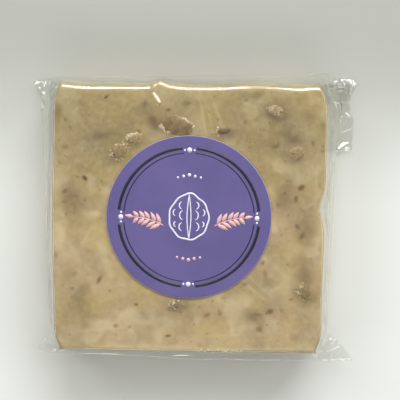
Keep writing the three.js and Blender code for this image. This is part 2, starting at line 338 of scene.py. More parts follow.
def plate(outer, thickness, facing):
    """A closed plate: a grid of outer points, the same grid set back along its normals, and a
    wall round the rim, which comes first. facing is 1 for an outer side that looks up and -1
    for down."""
    outer = narrow_border(outer)
    rows, columns = outer.shape[:2]
    inner = outer - facing * thickness * grid_normals(outer)
    count = rows * columns
    rim = grid_rim(rows, columns)
    top, bottom = (rim, rim + count) if facing > 0 else (rim + count, rim)
    faces = [
        strip(bottom, top),
        grid_quads(rows, columns, 0, flip=facing < 0),
        grid_quads(rows, columns, count, flip=facing > 0),
    ]
    return np.concatenate([outer.reshape(-1, 3), inner.reshape(-1, 3)]), faces


# ---- the film ---------------------------------------------------------------
DENSITY_STEPS = 2001  # steps in which the stations' density is summed up


def stations(length, bend_width, ramp_cells, bend_cells, face_cells, finer=()):
    """A line of stations from one outer edge of the bag over the slab to the other: for each
    its side, its share of the way out, its distance in from the slab's edge and its share of
    the way over the slab. On the face their density is 1 plus a bell at each finer place
    (share, spread, height), and they lie where its running sum grows by equal steps."""
    ramp = np.arange(ramp_cells) / ramp_cells
    bend = bend_width * np.arange(bend_cells) / bend_cells
    even = np.linspace(0, 1, DENSITY_STEPS)
    density = np.ones(even.size)
    for place, spread, height in finer:
        density += height * bell(even - place, spread)
    running = np.cumsum(density) - density[0]
    t = np.interp(np.linspace(0, 1, face_cells + 1), running / running[-1], even)
    face = lerp(bend_width, length - bend_width, t)
    half = ramp_cells + bend_cells
    count = 2 * half + face_cells + 1
    side, out = np.zeros(count), np.zeros(count)
    share, inset = np.zeros(count), np.zeros(count)
    side[:ramp_cells], side[-ramp_cells:] = -1, 1
    out[:ramp_cells], out[-ramp_cells:] = 1 - ramp, (1 - ramp)[::-1]
    share[ramp_cells:half] = bend / length
    share[half:-half] = face / length
    share[-half:-ramp_cells] = 1 - bend[::-1] / length
    share[-ramp_cells:] = 1
    inset[ramp_cells:half], inset[half:-half] = bend, bend_width
    inset[-half:-ramp_cells] = bend[::-1]
    return {"side": side, "out": out, "inset": inset, "share": share}


def bezier(a, b, c, t):
    """A quadratic curve from a to c, bent towards b."""
    return a * (1 - t) ** 2 + 2 * b * t * (1 - t) + c * t ** 2


def crease_point(side, q):
    """The crease beside the slab at the share q of its length."""
    ys, xs = LEFT_CREASE if side < 0 else RIGHT_CREASE
    y = lerp(ys[0], ys[-1], q)
    return np.interp(y, ys, xs), y


def end_edge(end, p):
    """The bag's edge below or above the slab at the share p of its width."""
    x = lerp(SLAB["left"], SLAB["right"], p)
    if end < 0:
        return x, lerp(SEAM_Y[0], SEAM_Y[1], smoothstep(p, *SEAM_TURN))
    left = lerp(FOLD_Y[0], FOLD_Y[1], smoothstep(p, 0, FOLD_TURN[0]))
    return x, left + (FOLD_Y[2] - FOLD_Y[1]) * smoothstep(p, FOLD_TURN[1], 1)


def film_plan(across, along):
    """The plan of the film's grid: on the slab the slab's own plan, beside it a ramp out to
    the crease, beyond its ends a ramp to the seam or the fold, and in the corners a ramp out
    to the ears' curved edges."""
    p, q = across["share"][None, :], along["share"][:, None]
    x, y = slab_point(p, q)
    x, y = x + 0 * q, y + 0 * p
    for end in (-1, 1):
        out = np.where(along["side"] == end, along["out"], 0)[:, None]
        end_x, end_y = end_edge(end, p)
        x, y = lerp(x, end_x, out), lerp(y, end_y, out)
    for side in (-1, 1):
        rim_x, rim_y = crease_point(side, along["share"])
        for end in (-1, 1):
            tip, bend = EARS[(side, end)]
            root_x, root_y = crease_point(side, 0 if end < 0 else 1)
            here = along["side"] == end
            rim_x = np.where(here, bezier(root_x, bend[0], tip[0], along["out"]), rim_x)
            rim_y = np.where(here, bezier(root_y, bend[1], tip[1], along["out"]), rim_y)
        out = np.where(across["side"] == side, across["out"], 0)[None, :]
        x, y = lerp(x, rim_x[:, None], out), lerp(y, rim_y[:, None], out)
    return x, y


def rim_height(along, y):
    """Height of the bag's outer edge: the crease half way up the sides, lower at the ends."""
    low = smoothstep(y, SLAB["bottom"], SLAB["bottom"] + EAR_RUN)
    high = smoothstep(y, SLAB["top"] - EAR_RUN, SLAB["top"])
    side = lerp(lerp(EAR_Z, CREASE_Z, low), FOLD_Z, high)
    end = along["side"][:, None] + 0 * y
    return np.where(end < 0, EAR_Z, np.where(end > 0, FOLD_Z, side))


def end_share(along):
    """How much of the slab's height is left towards the bag's ends: none in the weld."""
    weld = np.where(along["side"] < 0, SEAM_WIDTH / (SLAB["bottom"] - SEAM_Y[1]), 0)
    return np.maximum(0, 1 - along["out"] / (1 - weld))[:, None]


def round_drop(dx, dy, radius):
    """How far a rounded edge has dropped at insets dx and dy from two sides."""
    reach = np.minimum(radius, np.hypot(np.maximum(radius - dx, 0), np.maximum(radius - dy, 0)))
    return radius - np.sqrt(radius ** 2 - reach ** 2)


def segment_distance(x, y, start, end):
    """Distance from each point to the straight line between two points."""
    ax, ay = end[0] - start[0], end[1] - start[1]
    t = np.clip(((x - start[0]) * ax + (y - start[1]) * ay) / (ax * ax + ay * ay), 0, 1)
    return np.hypot(x - start[0] - t * ax, y - start[1] - t * ay)


# Sharp folds of the upper sheet: from, to, half width, height.
FILM_FOLDS = (
    ((54.3, 54.6), (56.5, 54.9), 0.5, 0.7), ((56.8, 55.6), (61.2, 55.2), 0.45, 0.55),
    ((63.6, 54.6), (61.6, 51.4), 0.5, 0.7), ((55.6, 52.7), (61.2, 52.3), 0.5, -0.5),
    ((54.8, 50.6), (59.4, 48.6), 0.5, 0.4), ((-62.0, 51.4), (-60.4, 47.6), 0.6, 0.5),
    ((58.2, -47.2), (61.6, -51.6), 0.5, 0.6), ((54.6, -52.9), (59.2, -50.4), 0.5, 0.6),
    ((61.8, -52.0), (64.4, -56.0), 0.5, 0.4), ((-64.0, -53.2), (-57.8, -50.6), 0.5, 0.55),
    ((-61.7, -50.4), (-56.6, -53.8), 0.5, 0.5), ((-60.0, -52.6), (-50.0, -54.2), 0.5, 0.35),
)
# Flat facets of the upper sheet that catch the light: from, to, half width, and the direction
# they face, in degrees from +Y towards +X. All slope down by FACET_SLOPE.
FILM_FACETS = (
    ((-15.0, 50.6), (-12.9, 47.8), 0.85, 56), ((54.8, 54.9), (56.2, 54.9), 0.45, 10),
    ((57.2, 55.5), (60.4, 55.2), 0.4, 12), ((63.4, 54.2), (62.4, 52.6), 0.3, 56),
    ((57.0, 45.6), (57.1, 39.4), 0.35, 60), ((-59.4, 44.5), (-58.5, 44.1), 0.7, -36),
    ((-59.2, 49.1), (-57.6, 48.6), 0.55, -36), ((-61.6, 52.6), (-60.4, 52.4), 0.5, -30),
)
FACET_SLOPE = 0.68
FACET_BLEND = 2.0  # a facet has faded into the film this many half widths from its line
# Facets and folds of the folded mouth, in the same terms. The facets stand up by the lift.
FLAP_FACETS = (((57.2, 28.4), (60.8, 30.9), 0.45, 22),)
FLAP_FACET_LIFT = 0.4
FLAP_FOLDS = (
    ((60.0, 28.0), (61.2, 27.9), 0.5, 0.5),
    ((59.8, 41.6), (60.7, 41.0), 0.5, 0.5), ((58.0, 40.2), (59.6, 38.8), 0.5, 0.4),
    ((57.6, 47.6), (60.6, 46.2), 0.5, 0.35), ((58.4, 35.0), (62.0, 36.4), 0.6, 0.3),
)


def edge_bump(out, cells):
    """A small rise just in from the film's edge, highest BEAD_CELLS of the grid in from it."""
    steps = (1 - out) * cells / BEAD_CELLS
    return steps * np.exp(1 - steps)


def ridges(folds, x, y):
    """The sum of the folds: each its height times a bell of the distance from its line."""
    return sum(h * bell(segment_distance(x, y, a, b), w) for a, b, w, h in folds)


def with_facets(facets, x, y, z, lift=0.0):
    """The surface with each facet put in: a plane through the surface at the facet's middle,
    whole out to its half width from its line and gone at FACET_BLEND half widths."""
    for start, end, width, facing in facets:
        dx, dy = x - (start[0] + end[0]) / 2, y - (start[1] + end[1]) / 2
        middle = np.unravel_index(np.argmin(dx ** 2 + dy ** 2), dx.shape)
        turn = math.radians(facing)
        plane = z[middle] + lift - FACET_SLOPE * (dx * math.sin(turn) + dy * math.cos(turn))
        away = segment_distance(x, y, start, end) / width
        z = lerp(z, plane, 1 - smoothstep(away, 1, FACET_BLEND))
    return z


def nearness(folds, x, y, spread):
    """How near each point is to one of the folds, 1 on its line and 1/e at the spread."""
    return np.maximum.reduce([bell(segment_distance(x, y, a, b), spread) for a, b, _, _ in folds])


def crumple(x, y):
    """Creased film: the difference of two folded ripples, sharp where either is nought, with a
    finer plain ripple."""
    first, second, fine = (ripple(x, y, *layout) for layout in CRUMPLE_RIPPLES)
    return np.abs(first) - np.abs(second) + CRUMPLE_FINE * fine


def looseness(across, along, x, y):
    """Waves of the film beside the slab: crumples in the corners, weaker near the folds and in
    the lower right ear, and between the corners a pleat and fine streaks, both of which run
    along the slab's sides."""
    corner = smoothstep(np.abs(x - MIDDLE[0]), *LOOSE_FROM[0])
    corner = corner * smoothstep(np.abs(y - MIDDLE[1]), *LOOSE_FROM[1])
    place, width, height = PLEAT
    wander = PLEAT_WANDER[0] * ripple(0 * x, y, PLEAT_WANDER[1], seed=16)
    swell = 1 + PLEAT_SWELL[0] * ripple(0 * x, y, PLEAT_SWELL[1], seed=15)
    pleat = height * swell * bell(across["out"][None, :] - place - wander, width)
    beside = ripple(x, STREAK_SLIM * y, STREAK_WIDTH, seed=9) * np.abs(across["side"])[None, :]
    beyond = ripple(STREAK_SLIM * x, y, STREAK_WIDTH, seed=10) * np.abs(along["side"])[:, None]
    calm = 1 - CALM[0] * nearness(FILM_FOLDS, x, y, CALM[1])
    calm = calm * (1 - CALM_EAR[0] * smoothstep(x, *CALM_EAR[1]) * smoothstep(-y, *CALM_EAR[2]))
    straight = STREAK_HEIGHT * (beside + beyond) + pleat
    return CRUMPLE * crumple(x, y) * corner * calm + straight * (1 - corner)


def film_over_face(x, y, dx, dy, at_top):
    """The upper sheet's height over the slab: the face's level less its rounded edges and the
    step before its ends, plus the face's relief and the film's own waves."""
    drop = round_drop(dx, dy * FACE_ROUND / END_ROUND, FACE_ROUND)
    start = LEDGE_START[0] + LEDGE_START[1] * ripple(x, 0 * y, LEDGE_START[2], seed=14)
    step = LEDGE * np.where(at_top, 1, LOWER_LEDGE) * smoothstep(start - dy, 0, LEDGE_WIDTH)
    change = smoothstep(ripple(x, 0 * y, LEDGE_LEAST[1], seed=8), -1, 1)
    z = FACE_Z - drop - step * lerp(LEDGE_LEAST[0], 1, change)
    height, length = FACE_FILM_WAVES
    return z + face_relief(x, y) * (1 - drop / FACE_ROUND) + height * ripple(x, y, length, seed=6)


def film_sheet(upper):
    """One sheet of the bag. Its height goes from the outer edge up (or down) to the slab's
    rounded edge by a ramp, over the face with its relief, with folds and crumples outside it.
    No point comes lower than the room for the flap, or than the sag below the edge."""
    cells, bend = FRONT_GRID if upper else BACK_GRID
    across = stations(SLAB["right"] - SLAB["left"], bend, *cells, PUCKER_FINER if upper else ())
    along = stations(SLAB["top"] - SLAB["bottom"], bend, *cells, END_FINER if upper else ())
    x, y = film_plan(across, along)
    dx, dy = across["inset"][None, :], along["inset"][:, None]
    share = (1 - across["out"])[None, :] * end_share(along)
    rim = rim_height(along, y)
    loose = 1 - share ** 2
    taut = smoothstep(across["out"][None, :] + along["out"][:, None], 0.0, TAUT_UNTIL)
    waves = looseness(across, along, x, y) * taut * loose
    if upper:
        z = lerp(rim + FILM_GAP, film_over_face(x, y, dx, dy, (along["share"] > 0.5)[:, None]), share)
        bead_across, bead_along = (edge_bump(line["out"], cells[0]) for line in (across, along))
        z = z + EDGE_BEAD * (bead_across[None, :] + bead_along[:, None])
        z = with_facets(FILM_FACETS, x, y, z + ridges(FILM_FOLDS, x, y) + waves)
    else:
        z = lerp(rim - FILM_GAP, round_drop(dx, dy, BACK_ROUND) + BACK_FILM_Z, share)
        z = z + BACK_LOOSE * waves * smoothstep(z, *BACK_LOOSE_Z)
    reach, passage = FLAP_PASSAGE
    over_flap = smoothstep(x, SLAB["right"], SLAB["right"] + reach) * smoothstep(y, *passage)
    lowest = np.maximum(lerp(BACK_FILM_Z, FLAP_ROOM, over_flap), rim * loose - SAG)
    z = np.maximum(z, lowest + 2 * FILM_GAP if upper else lowest)
    return np.stack([x, y, z], -1)


def film_flap(base):
    """One sheet of the bag's mouth, folded to the back: flat under the slab, and with a slow
    swell, a bead along its edges and creases where it reaches out beside it."""
    under_cells, free_cells, long_cells = FLAP_CELLS
    u = np.concatenate([np.linspace(0, FLAP_UNDER, under_cells, endpoint=False),
                        np.linspace(FLAP_UNDER, 1, free_cells)])[None, :]
    v = np.linspace(0, 1, long_cells)[:, None]
    y = lerp(FLAP["mouth"], FLAP["top"], v) + 0 * u
    above_step = smoothstep(y, FLAP["step_y"] - FLAP_STEP_REACH, FLAP["step_y"] + FLAP_STEP_REACH)
    outer = FLAP["right"] - FLAP["step"] * above_step
    under = lerp(FLAP["left"], SLAB["right"], np.minimum(u / FLAP_UNDER, 1))
    x = lerp(under, outer, np.clip((u - FLAP_UNDER) / (1 - FLAP_UNDER), 0, 1))
    free = smoothstep(x - SLAB["right"], *FLAP_FREE)
    folded, plain = FLAP_RIPPLES
    ripples = folded[0] * np.abs(ripple(x, y, *folded[1:])) + plain[0] * ripple(x, y, *plain[1:])
    swell = FLAP_SWELL + ripples * (1 - FLAP_CALM[0] * nearness(FLAP_FOLDS, x, y, FLAP_CALM[1]))
    for inset in (outer - x, y - FLAP["mouth"]):
        steps = inset / FLAP_BEAD[1]
        swell = swell + FLAP_BEAD[0] * steps * np.exp(1 - steps)
    swell = (swell + ridges(FLAP_FOLDS, x, y)) * free * smoothstep(FLAP["top"] - y, 0, FLAP_FLAT)
    share = (base - FLAP_SHEETS[0]) / (FLAP_SHEETS[1] - FLAP_SHEETS[0])
    z = base + np.clip(swell, 0, FLAP_SWELL_MOST) * lerp(LOWER_SWELL, 1, share)
    z = with_facets(FLAP_FACETS, x, y, z, FLAP_FACET_LIFT * share)
    return np.stack([x, y, np.maximum(z, base)], -1)


def add_film(material, edge):
    """The bag: an upper and a lower sheet, and the two sheets of the folded mouth."""
    sheets = [
        ("film_front", film_sheet(True), 1, "fudge_bag"),
        ("film_back", film_sheet(False), -1, None),
        ("film_flap_lower", film_flap(FLAP_SHEETS[0] + FILM), 1, None),
        ("film_flap_upper", film_flap(FLAP_SHEETS[1] + FILM), 1, None),
    ]
    for name, outer, facing, node in sheets:
        points, faces = plate(outer, FILM, facing)
        make_piece(name, points, faces, material, node, rim=edge)


# ---- the slab ---------------------------------------------------------------
# Marks on the slab, each spot as x, y, half length, half width, turn in degrees and strength.
# Walnut under a thin veil of fudge:
SUNKEN = (
    (-14.8, 39.6, 3.8, 2.8, -60, 1), (-35.5, 34, 5.2, 2, 8, 0.8), (-46.5, 10.5, 4.2, 5.5, 0, 0.55),
    (38.6, 33.4, 3.8, 3, -20, 0.95), (44.2, -1, 4.6, 4.8, 0, 0.65), (44.2, -20, 3.5, 5.2, 10, 0.75),
    (-42.5, -26, 3, 3.6, 0, 0.4), (-42, -31, 2.4, 2.4, 0, 0.35), (44.2, 43.5, 3.4, 3, 0, 0.3),
    (-52, 43.5, 1.6, 3.6, 0, 0.5), (-2.5, 46.8, 2.6, 2, 0, 0.4), (-6.4, 38.3, 7.5, 4.4, -12, 0.75),
    (-28.1, 28.1, 5, 3.8, 40, 0.5), (-22, 33.2, 4.4, 3.2, 20, 0.5),
    (31.6, 43.8, 5.2, 4.4, -25, 0.8), (12.5, 36.2, 5.5, 2.8, 8, 0.75),
    (39.5, 28.1, 4.8, 4.2, 30, 0.35), (44.1, -25.8, 4.8, 4.4, -50, 0.6),
    (-4.6, -31.4, 4.4, 3, 10, 0.8), (31.5, 31.5, 2.6, 1.8, 30, 0.5), (31, -33.5, 3.2, 2.4, 0, 0.45),
    (35.6, 10, 4.4, 6.4, 0, 0.7), (14, 46.5, 3, 1.6, 0, 0.3), (24, 49.5, 2.6, 1.4, 20, 0.35),
    (-15.6, 40.6, 2, 1.4, -50, 1), (24, -36.2, 4, 2.2, 0, 0.5),
)
# Small bits of walnut skin:
SPECKS = (
    (-15.4, 40.4, 2, 1.3, -50, 0.5), (-14.2, 38.4, 1.6, 1.3, -50, 0.4),
    (-33.1, 49, 0.9, 0.5, 35, 0.95), (-48.6, 40.2, 0.8, 1, 0, 0.6), (-41.2, 17.7, 1.3, 0.8, -50, 1),
    (-49, 12.4, 1.3, 0.8, 20, 0.7), (-49, 8.4, 0.9, 0.7, 0, 0.5), (-9.4, 44.4, 0.9, 0.6, 10, 0.8),
    (-21, 36, 1.3, 0.7, 10, 0.8), (-18.2, 46.6, 0.7, 1, 0, 0.4), (9.6, 41, 0.5, 0.9, 0, 0.7),
    (8, 49.8, 0.6, 0.6, 0, 0.4), (20.3, 48.6, 1, 0.7, 40, 0.5), (27, 37, 0.6, 0.5, 0, 0.4),
    (32, 31, 1.4, 0.8, 20, 0.45), (46, 32.2, 0.8, 1, 0, 0.5), (49.8, 29.3, 0.9, 0.6, 0, 0.4),
    (41.8, 15, 1.6, 1.1, 30, 1), (39.9, 10.6, 0.7, 1.4, 0, 0.95), (35.6, 12.8, 0.6, 0.6, 0, 0.7),
    (27.7, -14.5, 1, 0.7, 60, 0.7), (20.9, -22.9, 1.2, 0.8, -20, 0.8),
    (-21.2, -31.7, 0.9, 0.6, 0, 0.65), (-18.5, -31.7, 0.4, 0.3, 0, 0.5),
    (-8.7, -44.1, 1.2, 0.6, 10, 0.9), (11.4, -35, 0.8, 0.7, 0, 0.5), (30.8, -33.9, 1.3, 1, 20, 1),
    (35.2, -33.4, 0.8, 0.7, 0, 0.4), (-46, -25.6, 0.8, 0.8, 0, 0.6), (30.6, 20, 0.5, 0.5, 0, 0.3),
    (40.7, -0.2, 1.3, 0.8, -40, 0.75), (42.6, -3.7, 1.6, 0.9, 60, 0.6),
    (36.4, -1, 0.6, 0.5, 0, 0.3), (-42.2, 7.6, 0.5, 0.4, 0, 0.4),
)
# Russet bits of skin:
RUSSETS = (
    (-35.6, -22.1, 1.8, 0.8, 62, 1), (-29.1, -40.3, 0.9, 0.7, 20, 0.8),
    (-23.7, -40.7, 0.7, 0.6, 0, 0.7), (26.7, -41, 1.5, 1.1, 10, 0.8),
    (-2, 46.9, 1.3, 0.8, 15, 0.55), (-48.8, 29.7, 1.2, 0.9, 0, 0.6),
    (-52.6, 29.2, 0.8, 1.4, 0, 0.7), (12.9, -28.6, 1.1, 0.8, 0, 0.45),
    (6.4, -35.5, 1.4, 1, 20, 0.8), (42.4, 15.6, 1.2, 0.6, 30, 0.4), (33.1, 8.3, 0.9, 1.1, 0, 0.7),
    (-31.4, -26.4, 0.6, 0.5, 0, 0.7), (-51.2, 42.7, 1.6, 2.4, 0, 0.4),
    (-18.3, 45.9, 1.4, 1.6, 30, 0.35), (24.6, 50.9, 2.6, 1.2, 20, 0.4),
    (44.1, 42.8, 1.6, 1.2, 20, 0.3), (49.6, 39.4, 0.8, 1.1, 0, 0.5), (49.8, 31.3, 0.6, 0.8, 0, 0.4),
    (28.6, -18.9, 0.9, 2, 10, 0.5), (26.2, -35.2, 1.6, 0.4, -8, 0.7),
    (-45.3, -19.9, 1.3, 1, 0, 0.4), (-52.4, -12.5, 0.6, 1.2, 0, 0.5),
    (44.5, -35.4, 2.4, 0.7, -35, 0.3), (49, 16, 0.7, 1.3, 0, 0.4),
)
# Broad clouds of greyer, clearer fudge:
CLOUDS = (
    (-28, 35, 12, 6, 15, 0.9), (-8, 43, 11, 6, -10, 0.8), (25, 33, 14, 8, 20, 0.8),
    (37, 36, 10, 8, 0, 1), (42.5, 8, 7, 14, 0, 0.7), (-46, 9, 5, 8, 0, 1),
    (-43.5, -29, 6, 7, 0, 0.7), (43, -22, 5, 8, 0, 0.6), (-10, -38, 12, 5, 0, 0.45),
    (17, 42, 8, 4, -30, 0.8), (-48, 40, 4, 9, 0, 0.7), (34, -8, 6, 6, 0, 0.45),
    (-39, 25, 8, 7, 40, 0.55), (-44, 47, 8, 3, 0, 0.4), (43.5, -3, 5, 6, 0, 0.6),
    (29, 20, 6, 5, 30, 0.4), (28, -32, 9, 5, 0, 0.3), (-24, 46.5, 9, 3, 0, 0.3),
    (24, 37, 24, 12, 0, 0.55), (-37, 34, 17, 12, 0, 0.95), (-50, 44, 3, 6, 0, 0.5),
    (-42, 22, 8, 12, 0, 0.6), (44, 26, 8, 12, 0, 0.5), (-46, -36, 8, 12, 20, 0.75),
    (46, -38, 7, 13, 0, 0.7), (28, -40, 7, 7, 0, 0.55), (-48, -24, 6, 9, 0, 0.6),
    (-37, -20, 9, 9, 0, 0.4), (45, -14, 7, 8, 0, 0.55), (-4, -36, 8, 5, 0, 0.5),
    (-18, 44.6, 5, 3.5, 0, 1.1), (-25, 38.2, 6, 4.5, 0, 1.1), (-32, 27, 6, 5, 0, 0.7),
    (34, 44.5, 7, 4, 0, 0.75), (20, 50.5, 5, 2, 0, 0.8), (16, -25.5, 5, 4, 0, 0.8),
    (24, -36, 6, 4, 0, 0.8), (-24, -30, 4, 4, 0, 0.5), (-13, -36, 4, 3, 0, 0.6),
    (32, 28, 5, 4, 0, 0.6), (27, -23.5, 6, 5, 0, 0.8), (-17.5, -36, 4, 3, 0, 0.8),
    (32, -29.5, 7, 5, 0, 0.7), (45, -36, 5, 4, 0, 0.7), (39, 20, 4, 4, 0, 0.5),
)
# Creamy, paler fudge, and along the slab's upper and lower edges long bands of painted highlight, the
# glow of the film's bright bend there:
CREAMS_AND_EDGE_GLOW = (
    (-50, 20, 3, 13, 0, 0.8), (-51.5, -12, 2.5, 16, 0, 0.6), (-20, -43, 16, 5, 0, 0.5),
    (18, -45, 18, 4, 0, 0.5), (-40, -4, 8, 8, 0, 0.4), (48, 6, 3, 10, 0, 0.4),
    (-1, 52, 60, 1.9, 0, 0.75), (0, -49.5, 60, 1.4, 0, 1), (-30, 47.5, 16, 3, 0, 0.35),
    (49, 22, 3, 14, 0, 0.5), (-3, 32.5, 12, 3, 20, 0.5), (33, -20, 6, 8, 0, 0.4),
    (-36, 42, 7, 4, 0, 0.3), (10, 47, 6, 2.5, 0, 0.4), (36, 23, 6, 3, 20, 0.4),
    (37.5, -22.5, 4, 5, 0, 1), (38, -12, 4, 5, 0, 0.5), (45.5, 26, 4, 4, 0, 0.4),
    (-2, 50.4, 15, 2.2, 0, 1), (-14, 50.6, 4, 2, 0, 0.8), (-45, 50.5, 4, 2, 0, 0.6),
    (-51.8, -18, 2.5, 6, 0, 0.6), (-31, -22.5, 5, 4, 0, 0.5), (-45, -24, 3, 3, 0, 0.6),
    (-45, 13.5, 3, 3, 0, 0.6), (14, 31, 5, 3, 0, 0.4),
)
# Pale streaks of painted sheen where the film clings, and painted highlight lines along the slab's lower
# edge:
SHEEN_STREAKS = (
    (3.8, 42, 7.5, 0.5, -80, 0.7), (9.7, 42.2, 7.5, 0.6, -70, 0.6), (6.8, 40, 6, 0.4, -76, 0.4),
    (22.9, -24.3, 7, 0.6, -40, 0.8), (25, -22.4, 6, 0.4, -40, 0.5), (20.6, -27, 6.5, 0.5, -38, 0.5),
    (-41, -6, 3.4, 0.6, 60, 0.6), (-40, -3.4, 3, 0.5, 50, 0.5), (-37, -42, 9, 0.5, 4, 0.35),
    (14, -43.5, 12, 0.5, 2, 0.4), (47.6, 20, 9, 0.4, 88, 0.4), (-52.4, 22, 14, 0.35, 90, 0.7),
    (-24, 22.8, 4, 0.4, 45, 0.5), (-16, 30.6, 6, 0.6, 20, 0.6), (3, 33.6, 7, 0.4, -8, 0.4),
    (0, -49.3, 48, 0.45, 0.3, 1), (4, -50.3, 44, 0.3, 0.3, 1), (-28, -48.4, 16, 0.3, 1, 0.7),
)
# For each mark its spots, and the power of the reach in their fall-off.
MARKS = {"sunken": (SUNKEN, 2.0), "speck": (SPECKS, 3.5), "russet": (RUSSETS, 2.6),
         "cloud": (CLOUDS, 2.0), "cream_and_edge_glow": (CREAMS_AND_EDGE_GLOW, 2.0), "sheen_streak": (SHEEN_STREAKS, 2.0)}
RUN_DOWN = ("cloud", "cream_and_edge_glow")  # these run on down the sides, and the others stay on the face
# Marks on the sides at seeded places: seed, number, least and most radius, power.
SCATTERED = {"sunken": (41, 90, (1.5, 4.5), 2.0), "speck": (42, 160, (0.4, 1.2), 2.6)}
SCATTER_BOX = ((-53, -50, 0), (51, 52, FACE_Z - 2))  # lowest and highest place
SCATTER_STRENGTH = (0.4, 1)  # least and most strength of such a mark
SCATTER_WALLS = ((0, SLAB["left"]), (0, SLAB["right"]), (1, SLAB["bottom"]), (1, SLAB["top"]),
                 (2, BACK_Z))  # the axis across each wall, and where on it the wall lies
ON_FACE = (4, 2)  # the marks of the face fade out between these depths below it
BRIM = ((0.35, 1.4), (4, 9))  # depths over which the mark below the face's edge grows and fades: paler there, and painted shade at the folded end

FACE_CELLS, EDGE_CELLS = 252, 5  # cells of the slab's grid over its face, and round its edge
FACE_RIPPLES = ((0.012, 2.6, 21), (0.007, 1.4, 22), (0.05, 7, 23))  # height, length, seed
INSIDE_FILM = 1 - 0.35 / 52  # the slab's plan as a share of the film's: 0.35 mm less at 52 mm
WALL_ROUGH = (0.18, 4)  # height and length of the ripple down the sides
WALL_RINGS, ROUND_RINGS = 12, 4  # rings of points down the sides, and round the lower edge
BACK_RINGS = (0.12, 0.35, 0.65, 0.9)  # rings on the back, as shares of the way to its middle


def spot_field(spots, x, y, power):
    """The strongest of the spots at each point, each strength times exp(-reach ** power)."""
    field = np.zeros(x.shape)
    for cx, cy, long, wide, turn, strength in spots:
        along, across = turned(x, y, cx, cy, turn)
        reach = np.hypot(along / long, across / wide)
        field = np.maximum(field, strength * np.exp(-(reach ** power)))
    return field


def scattered_field(points, seed, count, radii, power):
    """The same for round spots at seeded places over the slab's sides and back."""
    rng = np.random.default_rng(seed)
    centres = rng.uniform(*SCATTER_BOX, (count, 3))
    wall = rng.integers(0, len(SCATTER_WALLS), count)
    for number, (axis, level) in enumerate(SCATTER_WALLS):
        centres[wall == number, axis] = level
    sizes, strengths = rng.uniform(*radii, count), rng.uniform(*SCATTER_STRENGTH, count)
    field = np.zeros(len(points))
    for centre, radius, strength in zip(centres, sizes, strengths):
        distance = np.linalg.norm(points - centre, axis=1)
        field = np.maximum(field, strength * np.exp(-((distance / radius) ** power)))
    return field


def slab_face():
    """The grid of the slab's face, with rounded edges and the face's relief and ripples."""
    size = SLAB["right"] - SLAB["left"], SLAB["top"] - SLAB["bottom"]
    across, along = (stations(length, FACE_ROUND, 1, EDGE_CELLS, FACE_CELLS) for length in size)
    keep = slice(1, -1)  # all but the stations beside the slab
    p, q = across["share"][keep][None, :], along["share"][keep][:, None]
    x, y = slab_point(p, q)
    drop = round_drop(across["inset"][keep][None, :], along["inset"][keep][:, None], FACE_ROUND)
    fine = sum(height * ripple(x, y, length, seed) for height, length, seed in FACE_RIPPLES)
    z = FACE_Z - VEIL - drop + (face_relief(x, y) + fine) * (1 - drop / FACE_ROUND)
    return np.stack([x * INSIDE_FILM, y * INSIDE_FILM, z], -1)


def lower_rings(rim):
    """The rings of points below the face's rim: down the sides with a ripple that is nought at
    both ends, round the lower edge by a quarter circle, and over the back to its middle."""
    outward = rim[:, :2] - np.array([MIDDLE])
    outward = outward / np.linalg.norm(outward, axis=1, keepdims=True)
    foot = BACK_Z + BACK_ROUND
    for t in np.linspace(0, 1, WALL_RINGS + 1)[1:]:
        ring = rim.copy()
        ring[:, 2] = lerp(rim[:, 2], foot, t)
        height, length = WALL_ROUGH
        rough = height * ripple(ring[:, 0] + ring[:, 2], ring[:, 1] - ring[:, 2], length, seed=31)
        ring[:, :2] += outward * (rough * math.sin(math.pi * t))[:, None]
        yield ring
    for angle in np.linspace(0, 1, ROUND_RINGS + 1)[1:] * math.pi / 2:
        ring = rim.copy()
        ring[:, 2] = foot - BACK_ROUND * math.sin(angle)
        ring[:, :2] -= outward * BACK_ROUND * (1 - math.cos(angle))
        yield ring
    for t in BACK_RINGS:
        ring = rim.copy()
        ring[:, 2] = BACK_Z
        ring[:, :2] = lerp(ring[:, :2] - outward * BACK_ROUND, np.array([MIDDLE]), t)
        yield ring


def slab_marks(points):
    """The strength of each mark at each of the slab's points."""
    x, y, z = points.T
    on_face = smoothstep(FACE_Z - z, *ON_FACE)
    off_face = (1 - on_face) * smoothstep(z, BACK_Z, BACK_Z + BACK_ROUND)
    depth = FACE_Z - VEIL - z
    # Below the face's edge: paler, and painted shade at the folded end.
    marks = {"brim_pale_and_shade": smoothstep(depth, *BRIM[0]) * (1 - smoothstep(depth, *BRIM[1]))}
    for name, (spots, power) in MARKS.items():
        marks[name] = spot_field(spots, x, y, power) * (1 if name in RUN_DOWN else on_face)
    for name, layout in SCATTERED.items():
        marks[name] = np.maximum(marks[name], scattered_field(points, *layout) * off_face)
    return marks


def add_slab(material):
    """The slab: a fine grid for its face, a wall of rings down its sides and round its lower
    edge, and a flat back closed by rings that shrink to the middle."""
    face = slab_face()
    rim = grid_rim(*face.shape[:2])
    points, faces = [face.reshape(-1, 3)], [grid_quads(*face.shape[:2])]
    above, total = rim, len(points[0])
    for ring in lower_rings(points[0][rim]):
        below = total + np.arange(len(rim))
        points.append(ring)
        faces.append(strip(below, above))
        above, total = below, total + len(rim)
    points.append(np.array([[*MIDDLE, BACK_Z]]))
    faces.append(fan(above, total)[:, ::-1])
    points = np.concatenate(points)
    make_piece("fudge_slab", points, faces, material, "fudge_bag", slab_marks(points))


# ---- the walnut pieces ------------------------------------------------------
# For each lump, how pale its kernel is, its share of the lump's size, and how knobbly and how
# deeply grooved it is.
KERNELS = (
    (-0.12, 1.12, 0.03, 0.02), (0.15, 0.85, 0.18, 0.3), (0.35, 0.9, 0.18, 0.3), (0.42, 1.0, 0.2, 0.4),
    (-0.4, 0.62, 0.12, 0.15), (0.3, 1.0, 0.04, 0.1), (0.0, 0.85, 0.15, 0.4), (-0.2, 0.55, 0.15, 0.3),
)
